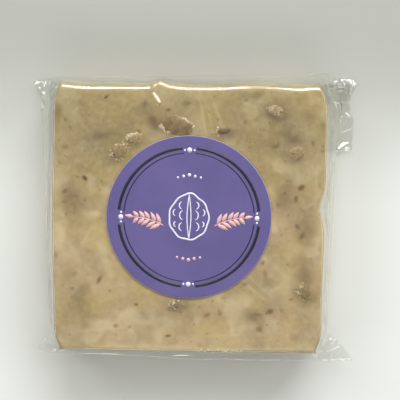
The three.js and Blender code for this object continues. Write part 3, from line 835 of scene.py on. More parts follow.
# Crumbs in an arc round a lump: the lump, first and last angle, number, how pale, how large,
# and how near to the lump's middle they come.
CRUMBS = (
    (0, 178, 240, 18, 1.3, 1.5, 0.8), (0, -5, 75, 12, 1.0, 1.1, 0.8), (1, 0, 360, 22, 1.0, 0.9, 0.65),
    (2, 80, 210, 14, 1.05, 1.1, 0.5), (3, 0, 360, 6, 0.8, 0.9, 0.6), (4, 120, 300, 9, 1.1, 0.9, 0.6),
    (5, 0, 360, 4, 0.7, 0.9, 0.8), (6, 100, 220, 12, 1.1, 1.0, 0.4), (6, 250, 400, 5, 0.5, 1.0, 0.7),
    (7, 90, 270, 20, 1.2, 0.7, 0.0), (7, -60, 80, 6, 1.0, 0.6, 0.2),
)
KERNEL_HEIGHT, KERNEL_RISE, KERNEL_WRINKLE = 0.5, 0.26, 1.5  # half height, rise, groove spacing
CRUMB_ROUGH, CRUMB_WRINKLE = (0.24, 0.22), 0.9  # knobs and grooves, and their spacing
# The least and most of what is drawn for each crumb. Size is its half width in millimetres, and
# stretch its half length as a share of that.
CRUMB = {"size": (0.22, 0.6), "stretch": (1, 1.9), "pale": (0.6, 1.1), "rise": (0.06, 0.26)}
CRUMB_FARTHEST, CRUMB_FLAT = 1.05, 0.7  # share of the lump's size, and of its own half width
PRESSED = 0.3  # the film presses every bit flat at this height over the slab's face
TOP_SHARE = 0.9  # share of a bit's points that lie below the height that its rise is measured at
KNOB_SPACING = 2.6  # spacing of the knobs, in groove spacings
GROOVE_WIDTH = 0.22  # a groove has faded to 1/e where its ripple is this far from nought
KERNEL_CELLS, CRUMB_CELLS = (22, 36), (6, 10)  # rings of their balls, and points in each ring
# Pale sugary crumbs along the slab's lower edge: their first and last x, and their number, and
# the least and most of what is drawn for each.
EDGE_CRUMBS = (4.0, 19.5, 30)
EDGE_CRUMB = {"along": (-0.5, 0.5), "inset": (0.3, 1.6), "size": (0.2, 0.5), "rise": (0.05, 0.2)}
EDGE_PALE, EDGE_STRETCH = 1.3, 1.4


def ball(rings, sides):
    """A closed unit ball: rings of points between two poles, with its quads and its caps."""
    theta = np.linspace(0, math.pi, rings + 2)[1:-1][:, None]
    phi = np.linspace(0, 2 * math.pi, sides, endpoint=False)[None, :]
    body = [np.sin(theta) * np.cos(phi), np.sin(theta) * np.sin(phi), -np.cos(theta) + 0 * phi]
    points = np.concatenate([np.stack(body, -1).reshape(-1, 3), [[0, 0, -1], [0, 0, 1]]])
    first, last = np.arange(sides), (rings - 1) * sides + np.arange(sides)
    caps = np.concatenate([fan(first, rings * sides)[:, ::-1], fan(last, rings * sides + 1)])
    return points, grid_quads(rings, sides, 0, wrap=True), caps


def walnut_bit(shape, place, half_sizes, degrees, rise, spacing, rough, seed):
    """A bit of walnut: the ball stretched to its half sizes, made knobbly by a long ripple and
    drawn in along grooves, which follow the lines where a shorter ripple is nought. It is
    turned about the upright and set so that most of its top stands this far over the slab's
    face, where the film presses it flat."""
    points = shape * np.asarray(half_sizes)
    x, y, z = points.T
    knobs = ripple(x - z, y + z, KNOB_SPACING * spacing, seed + 1)
    points = points * (1 + rough[0] * knobs)[:, None]
    x, y, z = points.T
    groove = bell(ripple(x + z, y - z, spacing, seed), GROOVE_WIDTH)
    x, y, z = (points * (1 - rough[1] * groove)[:, None]).T
    turn = math.radians(degrees)
    x, y = (x * math.cos(turn) - y * math.sin(turn) + place[0],
            x * math.sin(turn) + y * math.cos(turn) + place[1])
    edge = SLAB["bottom"] - bumps_at(BOTTOM_BUMPS, place[0])
    drop = float(round_drop(FACE_ROUND, max(place[1] - edge, 0.0), FACE_ROUND))
    ground = FACE_Z - VEIL - drop + face_relief(x, y)
    z = np.minimum(z - np.quantile(z, TOP_SHARE) + ground + rise, ground + PRESSED)
    return np.stack([x, y, z], -1), groove


def add_walnuts(material):
    """Walnut at the face: in each lump a wrinkled kernel, with crumbs on and round it, and
    along the slab's lower edge a row of pale crumbs."""
    rng = np.random.default_rng(seed=7)
    kernel, crumb = ball(*KERNEL_CELLS), ball(*CRUMB_CELLS)
    points, quads, caps, pale, grooves = [], [], [], [], []

    def add(shape, light, *layout):
        """Puts in one bit, this pale, with a seed of its own."""
        start = sum(len(part) for part in points)
        bit, groove = walnut_bit(shape[0], *layout, seed=int(rng.integers(1 << 30)))
        points.append(bit)
        quads.append(shape[1] + start)
        caps.append(shape[2] + start)
        pale.append(np.full(len(bit), light))
        grooves.append(groove)

    def add_crumb(light, place, sizes, rise):
        """Puts in one crumb, turned by any angle."""
        add(crumb, light, place, sizes, rng.uniform(0, 180), rise, CRUMB_WRINKLE, CRUMB_ROUGH)

    for (cx, cy, long, wide, degrees, _), (light, share, *rough) in zip(LUMPS, KERNELS):
        sizes = (share * long, share * wide, KERNEL_HEIGHT)
        add(kernel, light, (cx, cy), sizes, degrees, KERNEL_RISE, KERNEL_WRINKLE, rough)
    for lump, first, last, count, light, large, nearest in CRUMBS:
        cx, cy, long, wide, degrees, _ = LUMPS[lump]
        turn = math.radians(degrees)
        for _ in range(count):
            reach = rng.uniform(nearest, CRUMB_FARTHEST)
            angle = math.radians(rng.uniform(first, last) - degrees)
            along, across = long * reach * math.cos(angle), wide * reach * math.sin(angle)
            place = (cx + along * math.cos(turn) - across * math.sin(turn),
                     cy + along * math.sin(turn) + across * math.cos(turn))
            size = rng.uniform(*CRUMB["size"]) * large
            sizes = (size * rng.uniform(*CRUMB["stretch"]), size, size * CRUMB_FLAT)
            pale_here = light * rng.uniform(*CRUMB["pale"])
            add_crumb(pale_here, place, sizes, rng.uniform(*CRUMB["rise"]))
    for x in np.linspace(*EDGE_CRUMBS):
        along, inset, size, rise = (rng.uniform(*limits) for limits in EDGE_CRUMB.values())
        sizes = (EDGE_STRETCH * size, size, size)
        add_crumb(EDGE_PALE, (x + along, SLAB["bottom"] + inset), sizes, rise)
    marks = {"pale": np.concatenate(pale), "groove": np.concatenate(grooves)}
    faces = [np.concatenate(quads), np.concatenate(caps)]
    make_piece("walnut_bits", np.concatenate(points), faces, material, None, marks)


# ---- the sticker ------------------------------------------------------------
def label_height(x, y):
    """The paper's slow waves over its level, x and y from the sticker's middle."""
    waves = sum(height * ripple(x, y, length, seed) for height, length, seed in LABEL_WAVES)
    return LABEL_Z + LABEL_THICK + waves


def add_label(paper, inks):
    """A round sheet of paper with a rounded cut edge, and its print in raised ink."""
    rings, sides = LABEL_CELLS
    (last, _), *edge = LABEL_EDGE
    radius = np.concatenate([np.linspace(1, LABEL_RADIUS - last, rings),
                             [LABEL_RADIUS - inset for inset, _ in edge]])
    dip = np.concatenate([np.zeros(rings), [drop for _, drop in edge]])
    angle = np.linspace(0, 2 * math.pi, sides, endpoint=False)[None, :]
    x, y = radius[:, None] * np.cos(angle), radius[:, None] * np.sin(angle)
    z = label_height(x, y)
    top, low = (np.stack([x + LABEL_X, y + LABEL_Y, level], -1).reshape(-1, 3)
                for level in (z - dip[:, None], z - LABEL_THICK))
    middle = np.array([LABEL_X, LABEL_Y, label_height(np.array(0.0), np.array(0.0))])
    points = np.concatenate([top, low, [middle, middle - (0, 0, LABEL_THICK)]])
    count, rows = len(top), len(radius)
    first = np.arange(sides)
    outer = (rows - 1) * sides + first
    body = grid_quads(rows, sides, 0, flip=True, wrap=True)
    back = grid_quads(rows, sides, count, wrap=True)
    faces = [np.concatenate([body, back, strip(outer + count, outer)]),
             np.concatenate([fan(first, 2 * count), fan(first + count, 2 * count + 1)[:, ::-1]])]
    make_piece("sticker_paper", points, faces, paper, "sticker")
    for name, ribbons in label_print().items():
        points, faces, start = [], [], 0
        for path, width, closed in ribbons:
            part, quads = ribbon(path, width, closed)
            points.append(part)
            faces.append(quads + start)
            start += len(part)
        points, faces = np.concatenate(points), [np.concatenate(faces)]
        make_piece(name, points, faces, inks[name], None)


def ribbon(path, width, closed):
    """A flat strip of ink along a path: at each point a four-cornered section, half the width
    to each side, sunk a little in the paper and standing one ink height over it."""
    path = np.asarray(path, dtype=float)
    if closed:
        ahead, behind = np.roll(path, -1, axis=0), np.roll(path, 1, axis=0)
    else:
        ahead, behind = np.vstack([path[1:], path[-1:]]), np.vstack([path[:1], path[:-1]])
    tangent = ahead - behind
    tangent = tangent / np.maximum(np.linalg.norm(tangent, axis=1, keepdims=True), 1e-9)
    normal = np.stack([-tangent[:, 1], tangent[:, 0]], -1)
    half = (np.zeros(len(path)) + width)[:, None] / 2
    left, right = path + normal * half, path - normal * half
    corners = []
    for edge, rise in ((right, -INK), (right, INK), (left, INK), (left, -INK)):
        z = label_height(edge[:, 0], edge[:, 1]) + rise
        corners.append(np.column_stack([edge[:, 0] + LABEL_X, edge[:, 1] + LABEL_Y, z]))
    points = np.stack(corners, 1)
    n = len(path)
    steps = np.arange(n if closed else n - 1)
    ahead = (steps + 1) % n
    quads = []
    for corner in range(4):
        beside = (corner + 1) % 4
        quads.append(np.stack([4 * steps + corner, 4 * steps + beside,
                               4 * ahead + beside, 4 * ahead + corner], -1))
    quads = np.concatenate(quads)[:, ::-1]
    if not closed:
        caps = np.array([[0, 1, 2, 3], [4 * n - 1, 4 * n - 2, 4 * n - 3, 4 * n - 4]])
        quads = np.concatenate([quads, caps])
    return points.reshape(-1, 3), quads


# The print, in millimetres from the sticker's middle.
POINT_WIDTH = 0.05  # width of a strip where it ends in a point
RINGS = ((27.0, 39, 1.15), (25.1, 40, 0.45))  # radius, half of each arc in degrees, width
BEAD_RADIUS = 26.2  # distance of the beads
BEADS = ((0, 0.95), (-4.0, 0.4), (4.0, 0.4))  # degrees from the middle of a gap, and radius
NUT, NUT_LINE = (7.6, 8.6), 0.62  # the walnut's half width and half height, and its line's width
NUT_POINT = (0.10, 0.35)  # how far its top stands out, as a share, and over what angle
NUT_WAVES = (0.02, 9)  # height of the waves in its outline, as a share, and their number
SEAM_BOWS = (-0.75, 0.75)  # how far its two middle lines bow out
SEAM_RISE, SEAM_LINE = 0.3, 0.4  # how far they stand above its middle, and their width
# Curls in the walnut's right half, which the left half mirrors: x, y and half height.
NUT_CURLS = ((3.2, 4.7, 1.5), (2.9, 0.9, 1.9), (5.6, 1.9, 1.3), (3.2, -3.6, 1.7), (5.4, -2.6, 1.1))
CURL_TURN, CURL_WIDE = 1.25, 0.9  # half their arc in radians, and their width over their height
CURL_BACK = 0.6  # how far back they are set, as a share of half their width
CURL_LINE = (0.18, 0.3, 1.1)  # their width: an even part, a cosine's part and the cosine's speed
STEM_X, STEM_Y = (9.8, 11.5), (-3.2, 6.2, -3.0)  # a sprig's stem, as powers of its share
STEM_LINE = 0.42  # its width
LEAF_PAIRS, LEAF_SPREAD, LEAF_WIDE = 5, 48, 1.5  # spread: degrees from a pair's middle
LEAF_AT = (3, 5.6)  # the stem's point at the first pair, and how many from pair to pair
LEAF_TURN, LEAF_LONG = (22, 5), (4.6, 0.35)  # of the first pair, and how much less for each next
END_LEAF = (78, 3.4, 1.4)  # the leaf at the stem's end: degrees from upright, length, width
DOT_STEP, DOT_ROW, DOT_REACH = 2.2, 15.6, 2  # spacing, distance of a row's ends, dots each way
DOT_ARCH, DOT_GROWTH = 0.5, 0.12  # each dot nearer the middle is this much farther out and larger
PINK_DOT, WHITE_DOT = 0.5, 0.42  # radius of the dots at a row's ends
ARC_POINTS, SEAM_POINTS, STEM_POINTS, NUT_POINTS = 60, 41, 31, 120  # points along each line
CURL_POINTS, LEAF_POINTS, DOT_POINTS = 25, 17, 13


def arc(radius, start, end, steps):
    """Points of an arc round the sticker's middle, in degrees."""
    a = np.radians(np.linspace(start, end, steps))
    return np.column_stack([radius * np.cos(a), radius * np.sin(a)])


def leaf(root, turn, long, wide):
    """A pointed leaf: a straight strip whose width goes as a sine along it, widest a little
    nearer its root."""
    t = np.linspace(0, 1, LEAF_POINTS)
    turn = math.radians(turn)
    path = np.column_stack([root[0] + long * t * math.cos(turn), root[1] + long * t * math.sin(turn)])
    return path, POINT_WIDTH + wide * np.sin(math.pi * t ** 0.85), False


def dot(x, y, radius):
    """A small filled circle, as a strip that widens and narrows."""
    t = np.linspace(-1, 1, DOT_POINTS)
    path = np.column_stack([x + radius * t, y + 0 * t])
    return path, POINT_WIDTH + 2 * radius * np.sqrt(1 - t ** 2), False


def half_walnut():
    """Half a walnut: an ellipse with a pointed top and a wavy outline, two lines down its middle
    that bow out as a cosine, and curls on both sides, each an arc of an ellipse."""
    t = np.linspace(0, 2 * math.pi, NUT_POINTS + 1)[:-1]
    point, waves = NUT_POINT[0] * bell(t - math.pi / 2, NUT_POINT[1]), np.cos(NUT_WAVES[1] * t)
    reach = 1 + point + NUT_WAVES[0] * waves
    outline = np.column_stack([NUT[0] * reach * np.cos(t), NUT[1] * reach * np.sin(t)])
    lines = [(outline, NUT_LINE, True)]
    s = np.linspace(-1, 1, SEAM_POINTS)
    for bow in SEAM_BOWS:
        seam = np.column_stack([bow * np.cos(s * math.pi / 2), NUT[1] * s + SEAM_RISE])
        lines.append((seam, SEAM_LINE, False))
    u = np.linspace(-CURL_TURN, CURL_TURN, CURL_POINTS)
    width = CURL_LINE[0] + CURL_LINE[1] * np.cos(u * CURL_LINE[2])
    for side in (-1, 1):
        for x, y, reach in NUT_CURLS:
            across = side * (x + CURL_WIDE * reach * (np.cos(u) - CURL_BACK))
            lines.append((np.column_stack([across, y + reach * np.sin(u)]), width, False))
    return lines


def sprig(side):
    """A sprig on one side of the walnut: a stem that is straight in x and a parabola in y, pairs
    of leaves that get shorter and lie flatter along it, and a leaf at its end."""
    t = np.linspace(0, 1, STEM_POINTS)
    x = side * (STEM_X[0] + STEM_X[1] * t)
    y = STEM_Y[0] + STEM_Y[1] * t + STEM_Y[2] * t ** 2
    lines = [(np.column_stack([x, y]), STEM_LINE, False)]
    for pair in range(LEAF_PAIRS):
        at = int(LEAF_AT[0] + LEAF_AT[1] * pair)
        for spread in (-LEAF_SPREAD, LEAF_SPREAD):
            turn = LEAF_TURN[0] - LEAF_TURN[1] * pair + spread
            turn = turn if side > 0 else 180 - turn
            lines.append(leaf((x[at], y[at]), turn, LEAF_LONG[0] - LEAF_LONG[1] * pair, LEAF_WIDE))
    lines.append(leaf((x[-1], y[-1]), 90 - END_LEAF[0] * side, *END_LEAF[1:]))
    return lines


def label_print():
    """The print: rings near the rim with beads in each of four gaps, half a walnut in white in
    the middle, a pale pink sprig on each side of it, and a row of dots above and below it."""
    black, white = [], []
    for quarter in range(4):
        middle = 45 + 90 * quarter
        for radius, half_angle, width in RINGS:
            path = arc(radius, middle - half_angle, middle + half_angle, ARC_POINTS)
            black.append((path, width, False))
        for turn, size in BEADS:
            a = math.radians(90 * quarter) + math.radians(turn)
            white.append(dot(BEAD_RADIUS * math.cos(a), BEAD_RADIUS * math.sin(a), size))
    white += half_walnut()
    pink = sprig(-1) + sprig(1)
    for step in range(-DOT_REACH, DOT_REACH + 1):
        x, inner = DOT_STEP * step, DOT_REACH - abs(step)
        pink.append(dot(x, -DOT_ROW - DOT_ARCH * inner, PINK_DOT + DOT_GROWTH * inner))
        white.append(dot(x, DOT_ROW + DOT_ARCH * inner, WHITE_DOT + DOT_GROWTH * inner))
    return {"print_black": black, "print_white": white, "print_pink": pink}


# ---- materials --------------------------------------------------------------
def srgb(r, g, b):
    """A colour given as 0 to 255 screen values, as linear light."""
    c = np.array([r, g, b]) / 255
    linear = np.where(c <= 0.04045, c / 12.92, ((c + 0.055) / 1.055) ** 2.4)
    return (*linear, 1.0)


def new_group(name, inputs, output):
    """An empty node group with named number and vector inputs and one output."""
    group = bpy.data.node_groups.new(name, "ShaderNodeTree")
    for label in inputs:
        kind = "NodeSocketVector" if label == "Vector" else "NodeSocketFloat"
        group.interface.new_socket(name=label, in_out="INPUT", socket_type=kind)
    kind = "NodeSocketVector" if output == "Normal" else "NodeSocketFloat"
    group.interface.new_socket(name=output, in_out="OUTPUT", socket_type=kind)
    given = group.nodes.new("NodeGroupInput").outputs
    noise = group.nodes.new("ShaderNodeTexNoise")
    moved = group.nodes.new("ShaderNodeVectorMath")
    moved.operation = "MULTIPLY_ADD"
    moved.inputs[1].default_value = (1.0, 0.7, 0.3)
    group.links.new(given["Shift"], moved.inputs[0])
    group.links.new(given["Vector"], moved.inputs[2])
    group.links.new(moved.outputs[0], noise.inputs["Vector"])
    for label in ("Scale", "Detail", "Roughness"):
        group.links.new(given[label], noise.inputs[label])
    return group, given, noise.outputs["Fac"], group.nodes.new("NodeGroupOutput").inputs[0]


def mottle_group():
    """The effect shared by all the materials but the film: soft patches. Noise of the given
    scale, moved along by the shift, goes through a smooth ramp from low to high and comes out
    as a mask from 0 to the given most."""
    group, given, noise, result = new_group(
        "mottle", ("Vector", "Shift", "Scale", "Detail", "Roughness", "Low", "High", "Most"), "Mask")
    ramp = group.nodes.new("ShaderNodeMapRange")
    ramp.interpolation_type = "SMOOTHSTEP"
    most = group.nodes.new("ShaderNodeMath")
    most.operation = "MULTIPLY"
    group.links.new(noise, ramp.inputs["Value"])
    group.links.new(given["Low"], ramp.inputs["From Min"])
    group.links.new(given["High"], ramp.inputs["From Max"])
    group.links.new(ramp.outputs["Result"], most.inputs[0])
    group.links.new(given["Most"], most.inputs[1])
    group.links.new(most.outputs[0], result)
    return group


def grain_group():
    """The fine relief shared by fudge, walnut and paper: noise as the height of a bump."""
    group, given, noise, result = new_group(
        "grain", ("Vector", "Shift", "Scale", "Detail", "Roughness", "Strength", "Distance"), "Normal")
    bump = group.nodes.new("ShaderNodeBump")
    group.links.new(noise, bump.inputs["Height"])
    group.links.new(given["Strength"], bump.inputs["Strength"])
    group.links.new(given["Distance"], bump.inputs["Distance"])
    group.links.new(bump.outputs[0], result)
    return group


MOTTLE, GRAIN = mottle_group(), grain_group()


class Nodes:
    """A material with short calls to add and join its nodes."""

    def __init__(self, name):
        """A new material of this name, with only its output node."""
        self.material = bpy.data.materials.new(name)
        self.material.use_nodes = True
        self.tree = self.material.node_tree
        self.tree.nodes.clear()
        self.output = self.tree.nodes.new("ShaderNodeOutputMaterial")

    def add(self, kind, inputs=None, **settings):
        """A new node; each of its inputs is given as a value or as the socket that feeds it."""
        node = self.tree.nodes.new(kind)
        for key, value in settings.items():
            setattr(node, key, value)
        for key, value in (inputs or {}).items():
            if isinstance(value, bpy.types.NodeSocket):
                self.tree.links.new(value, node.inputs[key])
            else:
                node.inputs[key].default_value = value
        return node

    def place(self):
        """The place on the piece, in metres."""
        return self.add("ShaderNodeTexCoord").outputs["Object"]

    def along(self):
        """How far that place lies towards the pack's folded end."""
        return self.add("ShaderNodeSeparateXYZ", {0: self.place()}).outputs["Y"]

    def mottle(self, scale, low=0.0, high=1.0, most=1.0, detail=2.0, rough=0.5, shift=0.0):
        """A mask of soft patches, from the shared group."""
        return self.add("ShaderNodeGroup", {
            "Vector": self.place(), "Shift": shift, "Scale": scale, "Detail": detail, "Roughness": rough,
            "Low": low, "High": high, "Most": most}, node_tree=MOTTLE).outputs["Mask"]

    def grain(self, scale, strength, distance=0.0003, detail=3.0, rough=0.6, shift=0.0):
        """The normal of a fine relief, from the shared group."""
        return self.add("ShaderNodeGroup", {
            "Vector": self.place(), "Shift": shift, "Scale": scale, "Detail": detail, "Roughness": rough,
            "Strength": strength, "Distance": distance}, node_tree=GRAIN).outputs["Normal"]

    def ramp(self, value, low, high):
        """An S-shaped ramp of a value, from 0 at low to 1 at high."""
        return self.add("ShaderNodeMapRange", {0: value, 1: low, 2: high},
                        interpolation_type="SMOOTHSTEP").outputs[0]

    def mix(self, share, a, b):
        """The colour this share of the way from a to b."""
        return self.add("ShaderNodeMix", {0: share, 6: a, 7: b}, data_type="RGBA").outputs[2]

    def math(self, operation, a, b=0.0):
        """Two values, joined by an operation."""
        return self.add("ShaderNodeMath", {0: a, 1: b}, operation=operation).outputs[0]

    def share(self, value, most):
        """A value times the most that it may count."""
        return self.math("MULTIPLY", value, most)

    def attribute(self, name):
        """The strength of one of the mesh's marks."""
        return self.add("ShaderNodeAttribute", attribute_name=name).outputs["Fac"]

    def marked(self, name, most, base, colour):
        """The base with a colour mixed over it, by a mark's strength times the most."""
        return self.mix(self.share(self.attribute(name), most), base, srgb(*colour))

    def surface(self, shader):
        """The finished material, with this shader on its surface."""
        self.tree.links.new(shader.outputs[0], self.output.inputs["Surface"])
        return self.material

    def solid(self, inputs):
        """The finished material, as one solid surface."""
        return self.surface(self.add("ShaderNodeBsdfPrincipled", inputs))


# The fudge's patches, each mixed over the last: scale, low, high, most, shift, colour.
FUDGE_PATCHES = (
    (62, 0.43, 0.62, 0.75, 4.1, (182, 156, 88)), (80, 0.45, 0.66, 0.45, 9.2, (188, 161, 128)),
    (105, 0.48, 0.66, 0.75, 12.4, (210, 192, 150)), (150, 0.52, 0.7, 0.45, 15.1, (142, 121, 78)),
)
# Light that is scattered a little way under the surface of fudge and walnut.
UNDER_SURFACE = {"Subsurface Weight": 0.15, "Subsurface Radius": (1.0, 0.85, 0.6),
                 "Subsurface Scale": 0.0006}


def fudge_material():
    """Dense pale fudge: beige that wanders between pink and yellow, painted darker and yellower
    towards the folded end as shade, clouds of grey, walnut dimly seen below the surface, brown
    specks, and pale streaks of painted sheen where the film clings. Along the slab's upper and lower
    edges it has painted highlight. Its edge under the face is pale, and painted dark as shade at the
    folded end."""
    m = Nodes("pale_fudge")
    base = m.mix(m.mottle(42, 0.35, 0.65, detail=1, shift=1.3), srgb(158, 136, 92), srgb(193, 168, 122))
    for scale, low, high, most, shift, colour in FUDGE_PATCHES:
        base = m.mix(m.mottle(scale, low, high, most, detail=1, shift=shift), base, srgb(*colour))
    # Paler cream, with painted highlight in the long bands along the slab's upper and lower edges.
    base = m.marked("cream_and_edge_glow", 0.75, base, (204, 184, 143))
    along = m.along()
    # Painted shade: darker and yellower towards the folded end.
    base = m.mix(m.share(m.ramp(along, -0.015, 0.035), 0.5), base, srgb(143, 127, 80))
    base = m.mix(m.share(m.ramp(along, 0.02, -0.03), 0.35), base, srgb(168, 143, 109))
    cloudy = m.math("ADD", m.attribute("cloud"), m.mottle(130, 0.5, 0.72, 0.4, shift=6.4))
    base = m.mix(m.share(cloudy, 0.62), base, srgb(126, 110, 75))
    base = m.mix(m.mottle(480, 0.4, 0.75, 0.2, shift=2.2), base, srgb(204, 184, 140))
    base = m.mix(m.mottle(420, 0.66, 0.72, 0.6, shift=7.7), base, srgb(124, 98, 54))
    base = m.marked("sunken", 0.85, base, (108, 86, 57))
    # The brim: paler below the face's edge, and painted shade at the folded end.
    brim_pale_and_shade = m.mix(m.ramp(along, 0.046, 0.051), srgb(188, 173, 136), srgb(134, 124, 86))
    base = m.mix(m.share(m.attribute("brim_pale_and_shade"), 0.7), base, brim_pale_and_shade)
    skin = m.mix(m.mottle(95, 0.4, 0.6, shift=3.3), srgb(114, 84, 42), srgb(80, 60, 30))
    base = m.mix(m.attribute("speck"), base, skin)
    base = m.marked("russet", 0.9, base, (114, 83, 36))
    # Painted sheen and highlight: pale streaks where the film clings, and lines along the slab's lower
    # edge.
    base = m.marked("sheen_streak", 0.4, base, (214, 199, 164))
    rough = m.add("ShaderNodeMapRange", {0: m.mottle(220, shift=3.0), 3: 0.6, 4: 0.75}).outputs[0]
    return m.solid({"Base Color": base, "Roughness": rough, "Specular IOR Level": 0.25, "IOR": 1.45,
                    "Normal": m.grain(900, 0.06, shift=5.5), **UNDER_SURFACE})


def walnut_material():
    """Broken walnut: golden brown kernel, darker in its grooves, with pale sugary crumbs."""
    m = Nodes("walnut_kernel")
    light = m.attribute("pale")
    pale = m.math("ADD", light, m.mottle(700, most=0.4, detail=3, rough=0.6, shift=2.0))
    dark = m.mix(m.ramp(pale, -0.4, 0.4), srgb(84, 68, 42), srgb(142, 118, 72))
    colour = m.mix(m.ramp(pale, 0.2, 1.5), dark, srgb(218, 203, 166))
    colour = m.mix(m.mottle(330, 0.45, 0.65, 0.3, shift=8.3), colour, srgb(144, 120, 74))
    colour = m.marked("groove", 0.8, colour, (94, 72, 40))
    rough = m.add("ShaderNodeMapRange", {0: light, 1: 0.4, 2: 1.0, 3: 0.55, 4: 0.28}).outputs[0]
    return m.solid({"Base Color": colour, "Roughness": rough, "Specular IOR Level": 0.35,
                    "Normal": m.grain(1800, 0.25), **UNDER_SURFACE})


def film_material():
    """Clear film: smooth glass for what is seen, and open to light on its way to what the
    film covers."""
    m = Nodes("clear_film")
    glass = m.add("ShaderNodeBsdfPrincipled", {
        "Base Color": (0.99, 0.988, 0.975, 1), "Roughness": 0.03, "IOR": 1.58,
        "Transmission Weight": 1.0})
    clear = m.add("ShaderNodeBsdfTransparent", {"Color": (0.965, 0.965, 0.955, 1)})
    path = m.add("ShaderNodeLightPath")
    lamp_light = m.add("ShaderNodeMixShader", {
        0: path.outputs["Is Shadow Ray"], 1: glass.outputs[0], 2: clear.outputs[0]})
    return m.surface(m.add("ShaderNodeMixShader", {
        0: path.outputs["Is Diffuse Ray"], 1: lamp_light.outputs[0], 2: clear.outputs[0]}))


def edge_material():
    """The film's cut edge, which catches the light as a thin pale line."""
    m = Nodes("film_edge")
    tint = m.mix(m.mottle(300, shift=3.0), srgb(196, 196, 188), srgb(216, 216, 208))
    return m.solid({"Base Color": tint, "Roughness": 0.3})


def paper_material():
    """Violet satin paper with a pale cut edge and a faint fibre."""
    m = Nodes("violet_paper")
    middle = (-LABEL_X * MM, -LABEL_Y * MM, 0)
    place = m.add("ShaderNodeVectorMath", {0: m.place(), 1: middle}, operation="ADD")
    flat = m.add("ShaderNodeVectorMath", {0: place.outputs[0], 1: (1, 1, 0)}, operation="MULTIPLY")
    radius = m.add("ShaderNodeVectorMath", {0: flat.outputs[0]}, operation="LENGTH").outputs["Value"]
    violet = m.mix(m.mottle(60, 0.3, 0.7, shift=6.0), srgb(92, 83, 129), srgb(98, 88, 135))
    fibre = m.mottle(1800, 0.4, 0.7, 0.12, detail=3, rough=0.6, shift=3.0)
    violet = m.mix(fibre, violet, srgb(124, 113, 160))
    edge = m.ramp(radius, *((LABEL_RADIUS - inset) * MM for inset in LABEL_WHITE))
    return m.solid({"Base Color": m.mix(edge, violet, srgb(176, 170, 198)), "Roughness": 0.7,
                    "Specular IOR Level": 0.2, "Normal": m.grain(1400, 0.08, 0.0002, shift=8.0)})


def ink_material(name, colour, worn):
    """Printed ink: its colour with a faint unevenness where the paper shows through."""
    m = Nodes(name)
    mixed = m.mix(m.mottle(900, 0.45, 0.75, 0.25, detail=3, rough=0.6, shift=4.0), colour, worn)
    return m.solid({"Base Color": mixed, "Roughness": 0.4})


def floor_material():
    """A matt pale ground, painted darker beyond the pack's folded end as shade."""
    m = Nodes("pale_ground")
    near = m.mix(m.mottle(3.0), srgb(215, 216, 208), srgb(218, 219, 211))
    # Painted shade: the ground darkens beyond the pack's folded end.
    colour = m.mix(m.ramp(m.along(), 0.0, 0.075), near, srgb(168, 168, 159))
    return m.solid({"Base Color": colour, "Roughness": 0.8})


# ---- camera, lights and ground ----------------------------------------------
PHOTO_SIZE = 400  # the photograph's side in pixels
FOCAL_PIXELS = 1600.0  # the camera's focal length in those pixels
FACE_SCALE = 0.3837  # millimetres to a pixel where the camera aims
VIEW_TILT = 9.5  # degrees from straight above, towards the pack's folded end
VIEW_ROLL = 0.75  # degrees that the pack is turned clockwise in the picture
AIM = (3.07, 9.9, FACE_Z + 0.1)  # the point in the middle of the picture
HORIZON, ZENITH = 0.19, 0.31  # brightness of the sky's light, low and overhead
SKY = (0.96, 0.98, 1.0, 1)  # its colour
GROUND_REACH, GROUND_Z = 3.0, -0.00005  # half the ground's side, and its level, in metres
COOL, WARM, WHITE = (0.94, 0.99, 1.04), (1.0, 0.99, 0.97), (1, 1, 1)
LIGHTS = (  # name, place in metres, sides in metres, power in watts, colour
    ("overhead_window", (0.34, 1.72, 1.02), (1.9, 0.42), 40.5, COOL),
    ("window_glow", (0.36, 1.80, 1.07), (2.2, 0.9), 15, WARM),
    ("right_window", (1.706, -0.30, 1.0), (1.0, 0.2), 3.2, WHITE),
    ("left_window", (-1.706, -0.30, 1.0), (1.0, 0.2), 5, WHITE),
    ("right_corner", (1.606, 0.649, 1.0), (0.8, 0.45), 7, WARM),
    ("left_corner", (-1.22, 1.22, 1.0), (0.8, 0.45), 10.5, WARM),
    ("front_window", (0.1, -1.53, 1.29), (1.3, 0.6), 10, WHITE),
)


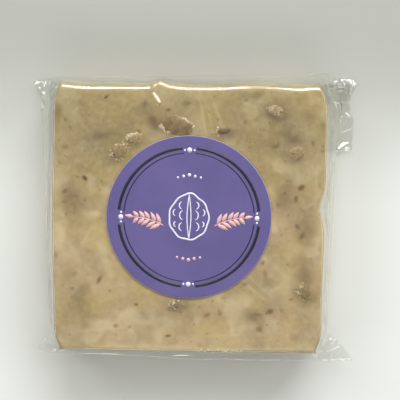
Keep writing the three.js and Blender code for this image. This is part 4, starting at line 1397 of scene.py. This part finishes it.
def add_camera():
    """A camera at the photograph's viewing angle, looking down on the face."""
    data = bpy.data.cameras.new("view")
    data.sensor_fit = "HORIZONTAL"
    data.lens = data.sensor_width * FOCAL_PIXELS / PHOTO_SIZE
    data.clip_start, data.clip_end = 0.01, 20
    camera = bpy.data.objects.new("view", data)
    tilt, roll = math.radians(VIEW_TILT), math.radians(VIEW_ROLL)
    back = Vector((0, math.sin(tilt), math.cos(tilt)))
    level = Vector((1, 0, 0))
    rise = back.cross(level)
    right = level * math.cos(roll) + rise * math.sin(roll)
    up = rise * math.cos(roll) - level * math.sin(roll)
    place = Vector(AIM) * MM + back * (FOCAL_PIXELS * FACE_SCALE * MM)
    camera.matrix_world = Matrix((right, up, back)).transposed().to_4x4()
    camera.location = place
    bpy.context.scene.collection.objects.link(camera)
    bpy.context.scene.camera = camera


def add_light(name, place, size, power, colour):
    """A rectangular soft light aimed at the pack."""
    data = bpy.data.lights.new(name, "AREA")
    data.shape = "RECTANGLE"
    data.size, data.size_y = size
    data.energy = power
    data.color = colour
    light = bpy.data.objects.new(name, data)
    light.location = place
    light.rotation_euler = (-Vector(place)).to_track_quat("-Z", "Y").to_euler()
    bpy.context.scene.collection.objects.link(light)


def add_stage():
    """The ground, the lights and the sky's even light."""
    mesh = bpy.data.meshes.new("ground")
    corners = [(x * GROUND_REACH, y * GROUND_REACH, GROUND_Z)
               for x, y in ((-1, -1), (1, -1), (1, 1), (-1, 1))]
    mesh.from_pydata(corners, [], [(0, 1, 2, 3)])
    mesh.materials.append(floor_material())
    ground = bpy.data.objects.new("ground", mesh)
    bpy.context.scene.collection.objects.link(ground)
    for light in LIGHTS:
        add_light(*light)
    world = bpy.data.worlds.new("even_sky")
    world.use_nodes = True
    tree = world.node_tree
    place = tree.nodes.new("ShaderNodeTexCoord").outputs["Generated"]
    height = tree.nodes.new("ShaderNodeSeparateXYZ")
    tree.links.new(place, height.inputs[0])
    rise = tree.nodes.new("ShaderNodeMapRange")
    rise.inputs[3].default_value, rise.inputs[4].default_value = HORIZON, ZENITH
    tree.links.new(height.outputs["Z"], rise.inputs[0])
    background = tree.nodes["Background"]
    background.inputs["Color"].default_value = SKY
    tree.links.new(rise.outputs[0], background.inputs["Strength"])
    bpy.context.scene.world = world
    bpy.context.scene.view_settings.view_transform = "Standard"


# ---- the scene --------------------------------------------------------------
add_stage()
add_camera()
add_film(film_material(), edge_material())
add_slab(fudge_material())
add_walnuts(walnut_material())
add_label(paper_material(), {
    "print_black": ink_material("black_ink", srgb(26, 26, 38), srgb(60, 56, 84)),
    "print_white": ink_material("white_ink", srgb(226, 224, 234), srgb(196, 190, 214)),
    "print_pink": ink_material("pink_ink", srgb(222, 172, 166), srgb(192, 150, 168)),
})
